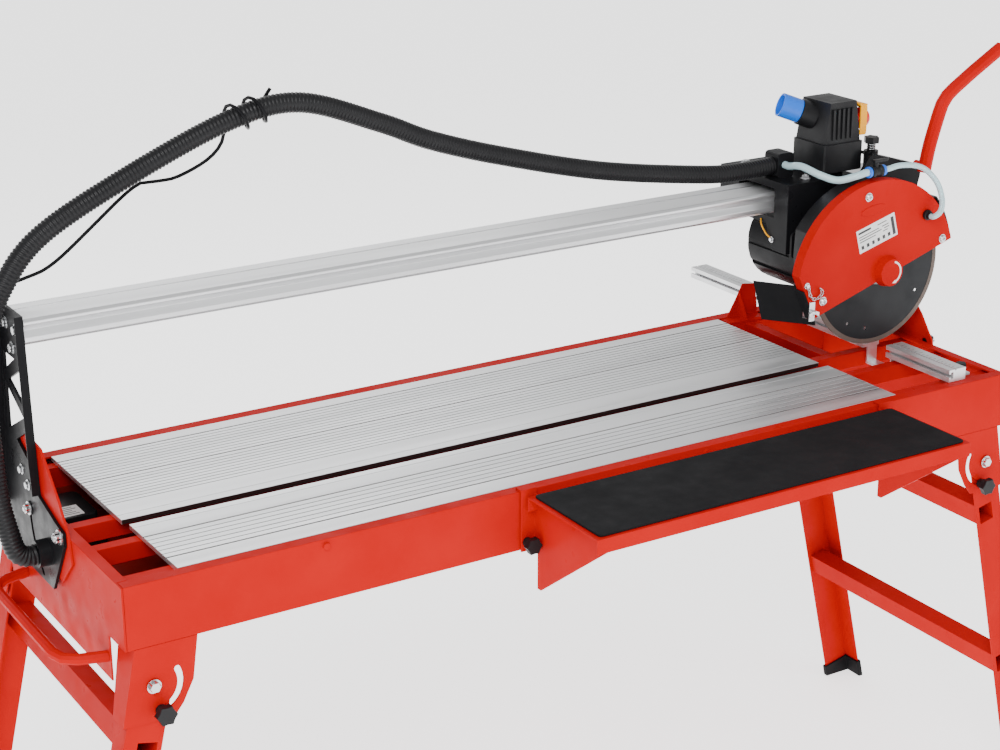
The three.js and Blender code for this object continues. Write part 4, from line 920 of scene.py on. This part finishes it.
def make_scale():
    top = box_mm("fence")[1].z
    bm = bmesh.new()
    for low, high in SCALE_SPANS:
        for step in range(math.ceil(low / TICK_PITCH), int(high / TICK_PITCH) + 1):
            y = step * TICK_PITCH
            long = LONG_TICK if step % LONG_TICK_EVERY == 0 else SHORT_TICK
            span = (TICKS_FROM_X, TICKS_FROM_X + long)
            block(bm, span, (y - TICK_HALF, y + TICK_HALF), (top - TICK_SUNK, top + TICK_HIGH))
    piece("fence_scale", bm, "guide_fence", "aluminium", looks="ink_and_recess_shade")


PUMP_LABEL_X = (-42, -4)
PUMP_LABEL_Y = (166, 208)
PUMP_LABEL_Z = (-44.1, -43.6)
PUMP_BARS, PUMP_BARS_FROM_Y, PUMP_BAR_PITCH, PUMP_BAR_WIDE = 5, 172, 7, 2
PUMP_BAR_LEFT, PUMP_BAR_RIGHT = -39, -10                       # the longest bar's ends in X
PUMP_BAR_LESS = 4                                              # how much shorter each next bar of three is
PUMP_BAR_Z = (-43.7, -43.4)


def make_pump_label():
    """A plain plate with plain bars on the pump's top."""
    plate = block(bmesh.new(), PUMP_LABEL_X, PUMP_LABEL_Y, PUMP_LABEL_Z)
    piece("pump_label", plate, "table", "steel", looks="label")
    marks = bmesh.new()
    for index in range(PUMP_BARS):
        y = PUMP_BARS_FROM_Y + index * PUMP_BAR_PITCH
        bar_end = PUMP_BAR_RIGHT - PUMP_BAR_LESS * (index % 3)
        block(marks, (PUMP_BAR_LEFT, bar_end), (y, y + PUMP_BAR_WIDE), PUMP_BAR_Z)
    piece("pump_label_marks", marks, "table", "steel", looks="ink_and_recess_shade")


AIR_SLOT_ROWS = range(-4, 5)
AIR_SLOT_PITCH = 11
AIR_SLOT_HALF = 2.2
AIR_SLOTS_RADIUS = 58
AIR_SLOT_SUNK, AIR_SLOT_HIGH = 0.6, 0.2                        # below and above the motor's rear face
MOTOR_SCREWS_RADIUS = 70
MOTOR_SCREW = [(0, 0), (4.5, 0), (4.5, 2), (3, 3.2), (0, 3.2)]


def make_motor_cover():
    """Blocks of painted shade for the air slots in the motor's rear face, and bright screws round it."""
    centre = (BLADE_AT.x, BLADE_AT.z)
    back = box_mm("motor_housing")[1].y
    bm = bmesh.new()
    for row in AIR_SLOT_ROWS:
        off = row * AIR_SLOT_PITCH
        half = math.sqrt(AIR_SLOTS_RADIUS ** 2 - off ** 2)
        z = centre[1] + off
        block(bm, (centre[0] - half, centre[0] + half), (back - AIR_SLOT_SUNK, back + AIR_SLOT_HIGH),
              (z - AIR_SLOT_HALF, z + AIR_SLOT_HALF))
    # the slots are painted shade, not cut openings
    piece("motor_air_slots", bm, "head", "black_plastic", looks="groove_shade")
    for index, angle in enumerate((45, 135, 225, 315)):
        x, z = turned_about(centre, MOTOR_SCREWS_RADIUS, math.radians(angle))
        bm = lathe(bmesh.new(), MOTOR_SCREW, (x, back - SEAT_SINK, z), (0, 1, 0), STUD_SIDES)
        piece(f"motor_screw_{index + 1}", bm, "head", "steel")


SPRING_RADIUS = 7.4
SPRING_WIRE = 0.9
SPRING_FROM, SPRING_HIGH = 383.2, 12
SPRING_TURNS, SPRING_STEPS, SPRING_SIDES = 4, 96, 8


def make_knob_spring():
    """The spring under the depth knob."""
    low, high = box_mm("depth_knob")
    centre = ((low.x + high.x) / 2, (low.y + high.y) / 2)
    line = []
    for step in range(SPRING_STEPS + 1):
        share = step / SPRING_STEPS
        x, y = turned_about(centre, SPRING_RADIUS, 2 * math.pi * SPRING_TURNS * share)
        line.append(Vector((x, y, SPRING_FROM + SPRING_HIGH * share)))
    spring = tube(bmesh.new(), line, lambda i: SPRING_WIRE, SPRING_SIDES)
    piece("depth_spring", spring, "depth_screw", "steel")


make_deck_strips()
make_scale()
make_pump_label()
make_motor_cover()
make_knob_spring()

# ---------- plain skins ----------
SKINS = {
    "front_beam": 1.4, "rear_beam": 1.2, "left_end_wall": 1.0, "right_end_wall": 1.0, "slot_bar_rear": 1.6,
    "slot_bar_front": 1.6, "right_cross_bar": 1.6, "rear_deck_panel": 0.35, "front_deck_panel": 0.35,
    "water_tank": 0.8, "pump": 2.0, "carry_handle": 0, "left_gusset": 0.8, "right_gusset": 0.8,
    "left_leg_frame": 0.9, "right_leg_frame": 0.9, "tray": 1.0, "tray_mat": 1.2, "tray_knob": 1.2,
    "fence": 0.6, "fence_knob_front": 1.2, "fence_knob_rear": 1.2, "left_column": 1.2, "right_column": 1.2,
    "carriage_housing": 1.2, "switch_box": 2.0, "power_inlet": 1.0, "switch_flap": 1.0,
    "head_arm": 0.8, "motor_housing": 1.5, "guard_front": 3.0, "guard_back": 0.8,
    "blade_shaft": 1.0, "pull_handle": 0, "depth_knob": 1.2,
}
for end in ("left", "right"):
    for row in ("front", "rear"):
        SKINS[f"{end}_{row}_leg_bracket"] = 0.9
        SKINS[f"{end}_{row}_foot"] = 2.0
        SKINS[f"{end}_{row}_leg_knob"] = 1.3
        SKINS[f"roller_{row}_{end}"] = 0.5

for node_name, edge_width in SKINS.items():
    skin(node_name, edge_width)

skin("rail", 1.6)
squash_with_head(skin("support_wire", 0))

# ---------- stage ----------
FLOOR_REACH = 60                    # metres
FLOOR_GREY = 0.9
FLOOR_ROUGH = 0.9
FLOOR_GLOW = 1.7
WORLD_STRENGTH = 0.8
LIGHTS = (                          # name, place, aim, size in metres, watts
    ("key", (-2.6, -3.2, 4.2), (0, 0, 0.9), (2.4, 2.4), 220),
    ("fill", (3.6, -3.4, 2.6), (0.2, 0, 0.9), (2.6, 2.6), 40),
    ("back", (0.6, 4.2, 3.6), (0, 0, 1.0), (4.0, 1.6), 60),
)


def make_floor():
    """A pale floor that glows a little, so that it stays nearly white."""
    bm = bmesh.new()
    corners = []
    for x, y in ((-1, -1), (1, -1), (1, 1), (-1, 1)):
        corners.append(bm.verts.new((x * FLOOR_REACH, y * FLOOR_REACH, 0)))
    bm.faces.new(corners)
    mesh = bpy.data.meshes.new("floor")
    bm.to_mesh(mesh)
    bm.free()
    floor = bpy.data.objects.new("floor", mesh)
    bpy.context.scene.collection.objects.link(floor)
    pale = bpy.data.materials.new("floor")
    pale.use_nodes = True
    shader = pale.node_tree.nodes["Principled BSDF"]
    shader.inputs["Base Color"].default_value = (FLOOR_GREY, FLOOR_GREY, FLOOR_GREY, 1)
    shader.inputs["Roughness"].default_value = FLOOR_ROUGH
    shader.inputs["Emission Color"].default_value = (1, 1, 1, 1)
    shader.inputs["Emission Strength"].default_value = FLOOR_GLOW
    mesh.materials.append(pale)


def make_world():
    world = bpy.data.worlds.new("studio")
    world.use_nodes = True
    background = world.node_tree.nodes["Background"]
    background.inputs["Color"].default_value = (1, 1, 1, 1)
    background.inputs["Strength"].default_value = WORLD_STRENGTH
    bpy.context.scene.world = world


def area_light(name, at, aim, size, power):
    data = bpy.data.lights.new(name, "AREA")
    data.shape = "RECTANGLE"
    data.size, data.size_y = size
    data.energy = power
    light = bpy.data.objects.new(name, data)
    bpy.context.scene.collection.objects.link(light)
    light.location = at
    light.rotation_euler = (Vector(aim) - Vector(at)).to_track_quat("-Z", "Y").to_euler()


make_floor()
make_world()
for row in LIGHTS:
    area_light(*row)

bpy.context.view_layer.update()
